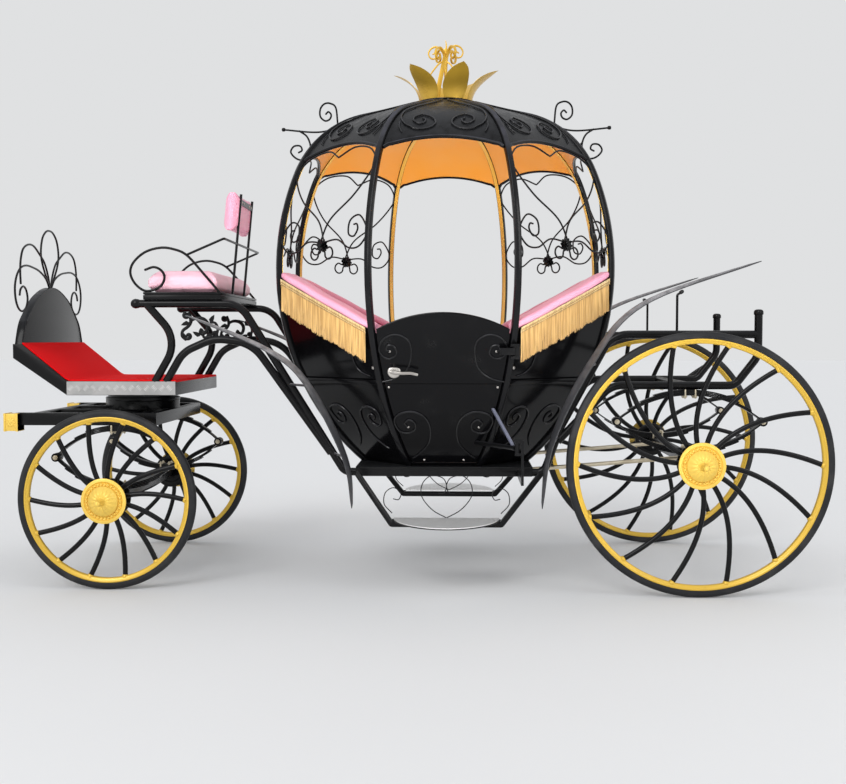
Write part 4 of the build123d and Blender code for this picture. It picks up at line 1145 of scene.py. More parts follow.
@dataclass
class Shell:
    """Ribs, wall panels with their belt rails, and the roof."""

    half: float = 14.0
    tube: float = 28.0
    strip: float = 20.0

    def rib(self, section: Pairs, out: float, low: float = 0.0) -> Shape:
        """One rib facing +X, with its section moved out from the rib line."""
        line = [OUTLINE.point(low + (3.99 - low) * i / 70, 1.0, out) for i in range(71)]
        return sweep([Vector((r, 0, z)) for r, z in line], section, up=(0, 1, 0))

    def ribs(self) -> None:
        """Eight ribs with the hub, and gold strips on their inner faces."""
        angles = [22.5 + 45 * i for i in range(OUTLINE.ribs)]
        frame, inlay = Shape(), Shape()
        tube, tape = self.rib(oblong(self.tube, self.tube, 5), 0), self.rib(oblong(3, self.strip, 1.2, 2), -15.2, 0.45)
        for angle in angles:
            frame.join(tube.turned(angle))
            inlay.join(tape.turned(angle))
        top = OUTLINE.point(4, 1.0)[1]
        hub = [(r, top + z) for r, z in ((0, -20), (112, -20), (124, -12), (126, 6), (118, 15), (60, 16), (0, 16))]
        frame.join(lathe(hub, (0, 0, 0), (0, 0, 1), 64))
        frame.piece("rib_tubes", [Look.RIB], ["cabin_ribs"])
        inlay.piece("rib_gold_strips", [Look.INLAY], (), "gold_paint")

    def jamb(self, gore: Gore, side: int, out: float) -> list[list[Vector]]:
        """A narrow strip behind one edge of a door, which closes the gap beside the rib.

        Args:
            gore: the door's face.
            side: which edge of it, -1 or 1.
            out: how far the strip stands off.
        Returns:
            Rows of points.
        """
        start, end = (OUTLINE.at_height(z, OUTLINE.flat) for z in (CABIN.door_foot, CABIN.door_side + 4))
        heights = [start + (end - start) * i / 20 for i in range(21)]
        return [[gore.place(side * gore.half(s, clear), s, out) for s in heights] for clear in (13, 36)]

    def walls(self) -> None:
        """Lower and upper panels, sills and belt rails."""
        lower, upper = Shape(), Shape()
        foot, belt, sheet = level(CABIN.wall_foot), CABIN.belt, (0, -CABIN.wall)
        for gore in CABIN.windows:
            lower.join(gore.panel(foot, level(belt - 2), sheet, self.half, 10, 16))
            lower.join(gore.panel(level(belt - 11), level(belt + 11), (9, -1), self.half, 8, 2))
        for facing in (-90, 90):
            lower.join(Gore(facing).panel(foot, level(CABIN.door_foot - 5), (8, -CABIN.wall), self.half, 8, 2))
            for side in (-1, 1):
                upper.slab(*[self.jamb(Gore(facing), side, out) for out in (-15, -18)])
        for gore in CABIN.quarters:
            upper.join(gore.panel(level(belt + 2), CABIN.quarter_top, sheet, self.half, 12, 14))
        for gore in CABIN.ends:
            upper.join(gore.panel(level(belt + 2), level(CABIN.quarter_high), sheet, self.half, 12, 14))
        lower.piece("lower_wall_sheets", [Look.BLACK], ["lower_panels"], bevel=1.2)
        upper.piece("upper_wall_sheets", [Look.BLACK], ["upper_panels"])

    def roof(self) -> None:
        """Eight roof faces, black outside, lined inside, with a rolled edge along each arch."""
        shell, lining = Shape(), Shape()
        peak = level(OUTLINE.point(3.96, OUTLINE.flat)[1])
        for i in range(OUTLINE.ribs):
            gore = Gore(45 * i)
            shell.join(gore.panel(CABIN.roof_arch, peak, (4, -2), self.half, 24, 18))
            lining.join(gore.panel(lambda t: CABIN.roof_arch(t) + 5, peak, (-2.2, -6), self.half - 1, 24, 18))
            edge = gore.sheet(CABIN.roof_arch, peak, 0, self.half, 30, 1)
            shell.join(sweep([column[0] for column in edge], circle(9, 12), mark=1))
        shell.piece("roof_sheets", [Look.BLACK, Look.RIB], ["roof_gores"])
        lining.piece("roof_lining", [Look.LINING], (), "")

    def build(self) -> None:
        """Build the shell."""
        self.ribs()
        self.walls()
        self.roof()


@dataclass
class Doors:
    """Two arched doors with their applied scrolls, levers and hinges."""

    out: float = 8.0
    inset: float = 12.0
    clear: float = 19.0
    seam: float = 975.0
    high_eye: Pair = (242.0, 1125.0)
    low_eye: Pair = (166.0, 768.0)
    screws: tuple[Pair, ...] = ((250.0, 960.0), (95.0, 600.0))
    lever_seat: Pair = (-224.0, 1033.0)
    hinge: Pair = (334.98, -799.99)
    hinge_z: Pair = (1125.0, 690.0)

    def leaf(self) -> Shape:
        """The left door's sheet, in two parts with the seam between them.

        Returns:
            The sheet.
        """
        gore, made = Gore(-90), Shape()
        for low, high in ((level(CABIN.door_foot), level(self.seam - 1.2)), (level(self.seam + 1.2), CABIN.door_arch)):
            made.join(gore.panel(low, high, (self.out, -self.inset), self.clear, 28, 14))
        core = (self.out - 4, -self.inset + 1)
        made.join(gore.panel(level(self.seam - 8), level(self.seam + 8), core, self.clear + 2, 8, 2))
        return made.join(self.rim())

    def rim(self) -> Shape:
        """A slim rolled edge round the arch."""
        edge = Gore(-90).sheet(level(CABIN.door_foot), CABIN.door_arch, self.out - 3, self.clear + 1, 40, 1)
        return sweep([column[-1] for column in edge], circle(4.5, 8))

    def scrolls(self) -> Shape:
        """Four applied scrolls of round rod, a screw at the heart of each and one beside each lower corner.

        Returns:
            The rods and screws.
        """
        gore, made = Gore(-90), Shape()
        for side in (-1, 1):
            for middle, table in ((self.high_eye, HIGH_SCROLL), (self.low_eye, LOW_SCROLL)):
                made.join(applied(gore, middle, side, table, self.out + 3.2))
                made.join(screw(gore.on(side * middle[0], middle[1], self.out), (0, -1, 0.1), 6.0, 1))
            for t, z in self.screws:
                made.join(screw(gore.on(side * t, z, self.out), (0, -1, 0.1), 6.0, 1))
        return made

    def hung(self) -> Shape:
        """Knuckles and the arms that reach from the wall to the hinge line.

        Returns:
            The knuckles and arms.
        """
        x, y = self.hinge
        made = Shape()
        for z in self.hinge_z:
            made.join(lathe([(6.3, -22), (11, -22), (11, 22), (6.3, 22)], (x, y, z), (0, 0, 1), 24, closed=True))
        high, low = self.hinge_z
        wall = Gore(-90).on(270, high, 0).y
        made.join(box((x - 78, x - 8), (y - 4, y + 8), (high - 16, high + 16)))
        made.join(box((x - 78, x - 56), (y, wall + 4), (high - 16, high + 16)))
        foot = Gore(-90).on(150, low, 0)
        made.join(rod([foot, (x - 8, y + 2, low)], 11, domed=False, sides=14))
        strut = Gore(-90).on(228, low + 170, 0)
        made.join(sweep([strut, Vector((x - 16, y + 26, low + 6))], oblong(16, 14, 3), up=(1, 0, 0), mark=1))
        return made

    def lever(self) -> Shape:
        """A lever handle on a round rose.

        Returns:
            The handle and its rose.
        """
        seat = Gore(-90).on(*self.lever_seat, self.out)
        rose = [(0, 9), (15, 9), (24, 8), (29, 6), (31, 3), (31, -2), (0, -2)]
        made = lathe(rose, seat, (0, -1, 0.12), 48)
        made.join(lathe([(10, 4), (9.5, 12), (9, 38), (10, 46), (8, 53), (0, 54)], seat, (0, -1, 0), 28))
        x, y, z = seat
        grip = flow([(x - 12, y - 44, z), (x + 14, y - 47, z - 5), (x + 42, y - 47, z - 7), (x + 78, y - 43, z - 7),
                     (x + 106, y - 38, z - 13)], 6)
        made.join(sweep(grip, oblong(16, 15, 6, 4), up=(0, 1, 0), domed=True, swell=lambda u: 1.0 - 0.1 * u))
        made.join(lathe([(0, 11), (5, 11), (6, 10), (6, 8)], (x, y, z), (0, -1, 0), 16))
        return made

    def build(self) -> None:
        """Build both doors."""
        for name, side in (("left", -1), ("right", 1)):
            pieces = (
                ("door_sheet", self.leaf(), [Look.BLACK], [f"door_{name}"], "black_paint"),
                ("door_scrolls", self.scrolls(), [Look.SCROLL, Look.CHROME], (), "black_paint"),
                ("door_hinge_arms", self.hung(), [Look.IRON, Look.STRUT], (), "black_paint"),
                ("door_lever", self.lever(), [Look.CHROME], [f"door_handle_{name}"], "satin_chrome"),
            )
            for label, shape, looks, nodes, slot in pieces:
                placed = shape if side < 0 else shape.other_side()
                placed.piece(f"{label}_{name}", looks, nodes, slot, f"side_door_{name}")


HIGH_SCROLL = (
    (43, -142), (-27, -123), (-80, -80), (-98, -11), (-85, 48), (-32, 75), (21, 59), (48, 16), (35, -20), (0, -34),
    (-30, -11), (-21, 21), (5, 27), (15, 8), (2, 0),
)
LOW_SCROLL = (
    (-16, -160), (-43, -141), (-91, -88), (-104, -13), (-80, 46), (-21, 75), (43, 62), (64, 30), (43, -18), (5, -31),
    (-30, -13), (-32, 19), (-5, 35), (16, 19), (3, 2),
)


def applied(gore: Gore, middle: Pair, side: int, table: Pairs, out: float, radius: float = 4.5) -> Shape:
    """A scroll of round rod laid on a sheet, its ends drawn out thin.

    Args:
        gore: the wall face.
        middle: (t, height) of the scroll's eye on the right half of the face.
        side: 1 for the right half, -1 for its mirror image.
        table: offsets from the eye, from the tail inwards.
        out: distance of the rod's middle from the panel line.
        radius: the rod's radius.
    Returns:
        The scroll.
    """
    line = gore.line([(side * (middle[0] + dx), middle[1] + dz) for dx, dz in table], out, 7)
    return sweep(line, circle(radius, 8), domed=True, swell=lambda u: 0.7 + 0.3 * sin(pi * min(max(u, 0), 1)) ** 0.5)


@dataclass
class Ironwork:
    """Scrolls of bent rod in the windows, on the roof, on the lower walls, and the lamp arms."""

    wire: float = 4.2
    window: Pair = (1508.0, 2108.0)
    tie_z: float = 1619.0
    wall_eye: Pair = (126.0, 795.0)
    belt_eye: Pair = (205.0, 1098.0)
    heart: tuple[Pair, ...] = (
        (0.0, 0.887), (0.36, 0.952), (0.80, 0.92), (1.02, 0.815), (0.94, 0.72), (0.61, 0.55), (0.14, 0.383),
        (-0.05, 0.205),
    )
    side_scroll: tuple[Pair, ...] = (
        (0.02, 0.207), (0.35, 0.22), (0.62, 0.15), (0.86, 0.16), (1.01, 0.265), (0.83, 0.39), (0.62, 0.36),
        (0.60, 0.26),
        (0.72, 0.235), (0.80, 0.285), (0.775, 0.325), (0.71, 0.325),
    )
    loop: tuple[Pair, ...] = (
        (0.02, 0.17), (0.105, 0.159), (0.18, 0.169), (0.24, 0.149), (0.255, 0.113), (0.213, 0.084), (0.148, 0.077),
        (0.09, 0.096),
        (0.073, 0.131), (0.03, 0.165),
    )
    roof_scroll: tuple[Pair, ...] = (
        (14, 540), (66, 405), (140, 262), (184, 196), (198, 143), (190, 97), (166, 64), (120, 38), (68, 46), (38, 82),
        (51, 125), (95, 156), (133, 136), (140, 104), (116, 80), (90, 87), (84, 110), (97, 121),
    )

    def wires(self, gore: Gore) -> Shape:
        """The heart and its flanking spirals in one window, with the rosette that ties them.

        Args:
            gore: the window's face.
        Returns:
            The wires and the rosette.
        """
        made = Shape()
        low, high = self.window
        for table in (self.heart, self.side_scroll, self.loop):
            for side in (1, -1):
                line = []
                for share in flow(table, 9):
                    s = OUTLINE.at_height(low + share.y * (high - low), OUTLINE.flat)
                    line.append(gore.place(side * share.x * gore.half(s, 14), s))
                made.join(rod(line, self.wire, sides=9))
        return made.join(self.rosette(gore.on(0, self.tie_z), gore.facing))

    def rosette(self, place: Vector, facing: float) -> Shape:
        """A pressed flower of two layers of petals with a domed eye, alike on both faces.

        Args:
            place: the flower's middle.
            facing: the way that it faces.
        Returns:
            The flower.
        """
        a = radians(facing)
        made = Shape()
        for way in (1, -1):
            axis = (way * cos(a), way * sin(a), 0)
            for size, high, turn in ((31, 3, 0.0), (20, 7, 0.39)):
                def ripple(r: float, h: float, angle: float, turn: float = turn) -> Pair:
                    """Scallop the rim into petals and raise them."""
                    wave = abs(cos(4 * (angle + turn)))
                    return r * (0.76 + 0.24 * wave), h + 0.13 * r * wave
                bowl = [(0, high), (size * 0.5, high + 1), (size, high + 4), (size, high + 2), (size * 0.5, high - 1.5),
                        (0, high - 2)]
                made.join(lathe(bowl, place, axis, 64, ripple=ripple))
            made.join(lathe([(8, 7), (7.5, 12), (5, 15), (0, 16)], place, axis, 20))
        return made

    def windows(self) -> None:
        """The scrollwork in the six windows beside the doors."""
        made = Shape()
        for gore in CABIN.windows:
            made.join(self.wires(gore))
        made.piece("window_scroll_wires", [Look.IRON], ["window_scrolls"])

    def roof(self) -> None:
        """A pair of scrolls on each roof face, with a short flared tail beside each rib."""
        made = Shape()
        for i in range(OUTLINE.ribs):
            gore = Gore(45 * i)
            for side in (-1, 1):
                for table, size in ((flow(self.roof_scroll, 6), 1.0),
                                    (flow([(202, 92), (204, 55), (192, 18)], 5), 0.8)):
                    line = [gore.place(side * p.x, OUTLINE.climbed(CABIN.arch_top, p.y), 9) for p in table]
                    made.join(sweep(line, circle(self.wire * size, 8), domed=True))
        made.piece("roof_scrolls", [Look.SCROLL])

    def panels(self) -> None:
        """Applied scrolls on the lower wall panels and beside the door above the belt."""
        made = Shape()
        for gore in CABIN.windows:
            for side in (-1, 1):
                made.join(applied(gore, self.wall_eye, side, [(dx * 0.86, dz * 0.9) for dx, dz in LOW_SCROLL], 3.4))
        for gore in CABIN.quarters:
            made.join(applied(gore, self.belt_eye, 1, [(dx * 0.62, dz * 0.62) for dx, dz in HIGH_SCROLL], 3.4))
            a = radians(gore.facing)
            made.join(screw(gore.on(268, 1050, 0), (cos(a), sin(a), 0.1), 9.0, 1))
        made.piece("wall_scrolls", [Look.SCROLL, Look.CHROME])

    def lamp_arms(self) -> None:
        """A bracket with two spirals at the front and the rear of the roof."""
        foot, hook_foot = (526.6, 2238.1), (661.4, 2111.5)
        tail = ((300, -12), (145, -26), (62, -16), (18, 12))
        high = (tail[-1], (28, 98), (58, 121), (88, 118), (108, 92), (108, 54), (84, 32), (60, 40), (52, 62), (66, 78),
                (80, 66))
        low = ((218, -19), (178, -48), (160, -98), (170, -144), (196, -168), (234, -160), (262, -128), (246, -98),
               (214, -96), (204, -118), (222, -130))
        hook = ((158, -90), (130, -130))
        made = Shape()
        for table, last in ((tail, None), (high, None), ((tail[-1],), foot), (low, None), (hook, hook_foot)):
            knots = [(foot[0] + 12 + out, 0, foot[1] + 36 + up) for out, up in table]
            knots += [(last[0], 0, last[1])] if last else []
            made.join(rod(flow(knots, 7), self.wire + 0.6))
        knob = [(0, -9), (7, -9), (9, -6), (10, 0), (9, 6), (6, 9), (0, 10)]
        made.join(lathe(knob, (foot[0] + 311, 0, foot[1] + 24), (1, 0, 0), 28))
        both = Shape().join(made, made.changed(Matrix.Scale(-1, 4, (1, 0, 0))))
        both.piece("lamp_arm_rods", [Look.IRON], ["lamp_arms"])

    def build(self) -> None:
        """Build the ironwork."""
        self.windows()
        self.roof()
        self.panels()
        self.lamp_arms()


@dataclass
class Crown:
    """Six flared petals about a bent strip that ends in curls, on the roof's hub."""

    petals: int = 6
    foot_r: float = 132.0
    flare: float = 142.0
    high: float = 170.0
    twist: float = -10.0
    outline: tuple[Pair, ...] = ((0.0, 38), (0.2, 55), (0.45, 66), (0.65, 64), (0.8, 55), (0.9, 38), (0.96, 20),
                                 (1.0, 0.5))

    def half(self, u: float) -> float:
        """Half a petal's width at a share of its height.

        Args:
            u: share of the petal's height.
        Returns:
            Half the width.
        """
        for (low, narrow), (high, wide) in zip(self.outline, self.outline[1:]):
            if u <= high:
                share = (u - low) / (high - low)
                return narrow + (wide - narrow) * share
        return 0.5

    def petal(self, base: float) -> Shape:
        """One petal facing +X: a curved leaf on a narrow foot, its tip drawn out to a point.

        Args:
            base: the height of its foot.
        Returns:
            The petal.
        """
        rows = []
        for i in range(41):
            u = i / 40
            radius = self.foot_r + 24 * u + (self.flare - 24) * u**3.2
            half = sum(self.half(min(max(u + d, 0), 1))
                       for d in (-0.05, -0.025, 0, 0.025, 0.05)) / 5 if u < 0.85 else self.half(u)
            row = []
            for j in range(15):
                v = j / 7 - 1
                row.append(Vector((radius - 12 * v * v * (1 - u) ** 0.5 - 3 * abs(v) * u, half * v,
                                   base + self.high * u)))
            rows.append(row)
        inner = [[p + Vector((-1.8, 0, 0)) for p in row] for row in rows]
        return Shape().slab(rows, inner)

    def strip(self, points: Pairs, base: float, wide: float, turn: float, slim: float, thick: float = 9.0) -> Shape:
        """A flat strip in an upright plane, slimmer towards its end.

        Args:
            points: (distance out, height over the base) along the strip.
            base: the height of the base.
            wide: its width at its foot.
            turn: the plane's angle about the cabin's axis.
            slim: share of the size that is lost towards the end.
            thick: its size across the plane's face.
        Returns:
            The strip.
        """
        line = [Vector((p.x, 0, p.y)) for p in flow([(x, base + z) for x, z in points], 7)]
        return sweep(line, oblong(thick, wide, 1.4, 2), up=(0, 1, 0), swell=lambda u: 1.0 - slim * u,
                     domed=True).turned(turn)

    def build(self) -> None:
        """Build the crown."""
        base = OUTLINE.point(4, 1.0)[1] - 6
        plate = [(r, base + z) for r, z in ((0, 12), (146, 12), (151, 14), (150, 18), (140, 21), (60, 24), (0, 25))]
        leaves, stems = Shape(), Shape()
        for i in range(self.petals):
            leaves.join(self.petal(base + 2).turned(60 * i + self.twist))
        base += 18
        core = ((-44, -4), (-36, 80), (-18, 170), (-4, 240), (0, 272))
        stems.join(self.strip(core, base, 7, 0, 0.2, 25))
        curl = ((0, 150), (5, 226), (18, 268), (44, 292), (72, 286), (88, 262), (80, 238), (60, 232), (47, 246),
                (54, 261), (66, 256))
        for turn, lift in ((0, 0), (180, -6), (55, -16), (125, -10), (235, -18), (305, -12)):
            stems.join(self.strip([(x, z + lift) for x, z in curl], base, 14, turn, 0.35))
        stems.join(self.strip(((0, 240), (3, 290), (0, 318)), base, 10, 0, 0.7, 12))
        stems.join(self.strip(((8, 214), (34, 204), (66, 168), (98, 124), (128, 100)), base, 8, 172, 0.4))
        stems.join(self.strip(((6, 210), (26, 196), (50, 160), (80, 130)), base, 8, -14, 0.4))
        lathe(plate, (0, 0, 0), (0, 0, 1), 72).piece("crown_plate", [Look.IRON])
        leaves.piece("crown_petals", [Look.PETAL], ["crown"], "gold_paint", sharp=60)
        stems.piece("crown_stems", [Look.PETAL], (), "gold_paint")


@dataclass
class Wheel:
    """One wheel: tyre, rim, bowed spokes on their barrel, and the hub cap."""

    axle: Axle
    side: str
    depth: float = 34.0
    wide: float = 40.0
    spokes: int = 14

    @property
    def hub(self) -> Triple:
        """The left wheel's middle."""
        return self.axle.x, -self.axle.half_track, self.axle.radius

    def at(self, radius: float, angle: float, out: float) -> Vector:
        """A point on the left wheel by radius, angle up from +X and distance outboard."""
        a = radians(angle)
        return Vector((self.axle.x + radius * cos(a), -self.axle.half_track - out, self.axle.radius + radius * sin(a)))

    def ring(self, profile: Pairs) -> Shape:
        """A profile of (radius, distance outboard) turned about the axle."""
        return lathe(profile, self.hub, (0, -1, 0), 144, closed=True)

    def tyre(self) -> Shape:
        """Solid tyre with round shoulders and a fine line on each wall.

        Returns:
            The tyre.
        """
        outer, inner, half = self.axle.radius, self.axle.radius - self.depth, self.wide / 2
        wall = [(inner, 15.5), (inner + 3, 18.6), (inner + 8, 20), (inner + 9.5, 19.3), (inner + 11, 20),
                (inner + 17, 19.6)]
        tread = [(outer - half * (1 - sin(a)) * 0.72, half * cos(a)) for a in (0.55, 0.85, 1.1, 1.35)]
        profile = [*wall, *tread, (outer, 0.0)]
        return self.ring([*profile, *[(r, -y) for r, y in reversed(profile[:-1])]])

    def rim(self) -> Shape:
        """Gold channel between two rolled lips.

        Returns:
            The channel and its lips.
        """
        outer, inner = self.axle.radius - self.depth + 0.5, self.axle.radius - self.depth - 22
        lip = [(outer, 17), (outer - 4, 18.6), (outer - 8, 17.6), (outer - 10, 15), (outer - 14, 14), (inner + 3, 11.5),
               (inner, 8)]
        return self.ring([*lip, *[(r, -y) for r, y in reversed(lip)]])

    def spoke_line(self, turn: float) -> list[Vector]:
        """The bowed middle line of one spoke.

        Args:
            turn: the spoke's angle about the hub, in degrees.
        Returns:
            The line's points.
        """
        reach = self.axle.radius - self.depth - 22
        a, b, c = (Vector((r * cos(radians(d)), r * sin(radians(d)))) for r, d in
                   ((47, self.axle.hub_lead), (reach * 0.6, self.axle.middle_lead), (reach + 4, 0)))
        line = []
        for i in range(25):
            u = i / 24
            p = a * (1 - u) * (1 - u / 0.6) + b * (u * (1 - u) / 0.24) + c * (u * (u - 0.6) / 0.4)
            line.append(self.at(p.length, degrees(atan2(p.y, p.x)) + turn, 0))
        return line

    def spoke_set(self) -> Shape:
        """The spokes on a turned barrel.

        Returns:
            The spokes and the barrel.
        """
        barrel = [(20.3, -62), (46, -62), (50, -58), (50, -46), (55, -42), (55, 30), (52, 36), (52, 50), (20.3, 50)]
        made = lathe(barrel, self.hub, (0, -1, 0), 56, closed=True)
        for i in range(self.spokes):
            made.join(sweep(self.spoke_line(360 / self.spokes * i), circle(12.0, 14), up=(0, 1, 0)))
        return made

    def welds(self) -> Shape:
        """Painted weld collars where the spokes meet the rim.

        Returns:
            The collars.
        """
        made = Shape()
        for i in range(self.spokes):
            line = self.spoke_line(360 / self.spokes * i)
            way = (line[-1] - line[-2]).normalized()
            made.join(lathe([(12, -7), (14, -4), (15.5, 0), (16.5, 5)], line[-1] - way * 3, way, 18))
        return made

    def cap(self) -> Shape:
        """Hub cap: flange, beaded ring, petalled dome and nose.

        Returns:
            The cap.
        """
        origin, axis = self.hub, (0, -1, 0)
        flange = [(52, 50), (104, 50), (107, 53), (106, 57), (100, 59), (92, 60), (89, 56), (86, 53), (73, 53),
                  (70, 56), (70, 66)]
        made = lathe(flange, origin, axis, 96)

        def petals(r: float, h: float, angle: float) -> Pair:
            """Raise sixteen petals on the dome."""
            lift = max(0.0, sin(pi * (70 - r) / 48)) if r > 22 else 0.0
            return r, h + 3.2 * lift * abs(cos(8 * angle))

        dome = [(70 - 2.4 * i, 66 + 25 * sin(0.5 * pi * i / 20)) for i in range(21)]
        nose = [(20, 93), (17, 99), (15.5, 108), (14, 120), (12, 130), (11, 134), (13.5, 138), (15, 144), (13.5, 151),
                (8, 156.5), (0, 158)]
        made.join(lathe([*dome, *nose], origin, axis, 128, ripple=petals))
        for i in range(30):
            made.join(self.bead(12 * i))
        return made

    def bead(self, angle: float) -> Shape:
        """One bead of the ring."""
        seat = self.at(79.5, angle, 53)
        return lathe([(6.6, -1), (6.4, 4), (4.6, 8), (0, 9.6)], seat, (0, -1, 0), 12)

    def build(self) -> None:
        """Build the wheel on its own body."""
        tag = f"{self.axle.end}_{self.side}"
        pieces = (
            ("tyre_ring", self.tyre(), Look.RUBBER, f"tyre_{tag}", "tyre_rubber"),
            ("rim_ring", self.rim().join(self.welds()), Look.GOLD, f"rim_{tag}", "gold_paint"),
            ("hub_cap", self.cap(), Look.CAST, "", "gold_paint"),
            ("spoke_set", self.spoke_set(), Look.CHASSIS, f"spokes_{tag}", "black_paint"),
        )
        for label, shape, look, node, slot in pieces:
            placed = shape if self.side == "left" else shape.other_side()
            placed.piece(f"{label}_{tag}", [look], [node] if node else (), slot, f"wheel_{tag}", sharp=50)


@dataclass
class Springing:
    """An axle with its brake drums and two full elliptic springs."""

    axle: Axle
    leaf: float = 7.0

    def beam(self) -> Shape:
        """Beam, drums and backing plates.

        Returns:
            The axle.
        """
        shoulder = self.axle.half_track - 67
        x, z = self.axle.x, self.axle.radius
        beam = box((x - 25, x + 25), (-shoulder, shoulder), (z - 25, z + 25))
        drum = [(r, -shoulder + y) for r, y in ((24, 10), (60, 10), (64, 16), (88, 16), (92, 13), (92, 0), (24, 0))]
        plate = lathe(drum, (x, 0, z), (0, 1, 0), 64, closed=True)
        stub = rod([(x, -shoulder + 2, z), (x, -self.axle.half_track - 48, z)], 20, sides=32, domed=False)
        return Shape().join(beam, plate.both(), stub.both())

    def spring(self) -> Shape:
        """One full elliptic spring with eyes, clamps, U-bolts and bolts, on the left side.

        Returns:
            The left spring.
        """
        low = self.axle.radius + 25
        middle, x, y = (low + self.axle.spring_top) / 2, self.axle.x, -LAYOUT.side_y
        made = Shape()
        rise = (self.axle.spring_top - low) / 2 - 28
        for way in (-1, 1):
            arch = (self.axle.half_span**2 + rise**2) / (2 * rise)
            swing = asin(self.axle.half_span / arch)
            for i, share in enumerate((1.0, 0.8, 0.62, 0.44)):
                radius, reach = arch + self.leaf * (i + 0.5), swing * share
                line = []
                for k in range(31):
                    a = reach * (k / 15 - 1)
                    line.append(Vector((x + radius * sin(a), y, middle + way * (radius * cos(a) - arch + rise))))
                made.join(sweep(line, oblong(self.leaf - 0.6, 45, 1.2, 2), up=(0, 1, 0)))
            clamp_z = middle + way * (rise + 14)
            made.join(box((x - 34, x + 34), (y - 26, y + 26), (clamp_z - 14, clamp_z + 14)))
            for dx in (-24, 24):
                for dy in (-27, 27):
                    low_z, high_z = sorted((clamp_z - way * 26, clamp_z + way * 12))
                    made.join(rod([(x + dx, y + dy, low_z), (x + dx, y + dy, high_z)], 5, 1, 10))
                    made.join(bolt((x + dx, y + dy, clamp_z - way * 16), (0, 0, -way), 8, 1))
        for way in (-1, 1):
            eye = (x + way * self.axle.half_span, y, middle)
            made.join(lathe([(0, -31), (19, -31), (21, -28), (21, 28), (19, 31), (0, 31)], eye, (0, 1, 0), 28))
            made.join(bolt((eye[0], y - 31, middle), (0, -1, 0), 8, 1), bolt((eye[0], y + 31, middle), (0, 1, 0), 8, 1))
        return made

    def build(self) -> None:
        """Build the axle and its springs."""
        end, body = self.axle.end, self.axle.body
        self.beam().piece(f"{end}_axle_beam", [Look.CHASSIS], [f"{end}_axle"], body=body, bevel=1.5)
        self.spring().both().piece(f"{end}_leaf_springs", [Look.CHASSIS, Look.ZINC], [f"{end}_springs"], body=body)


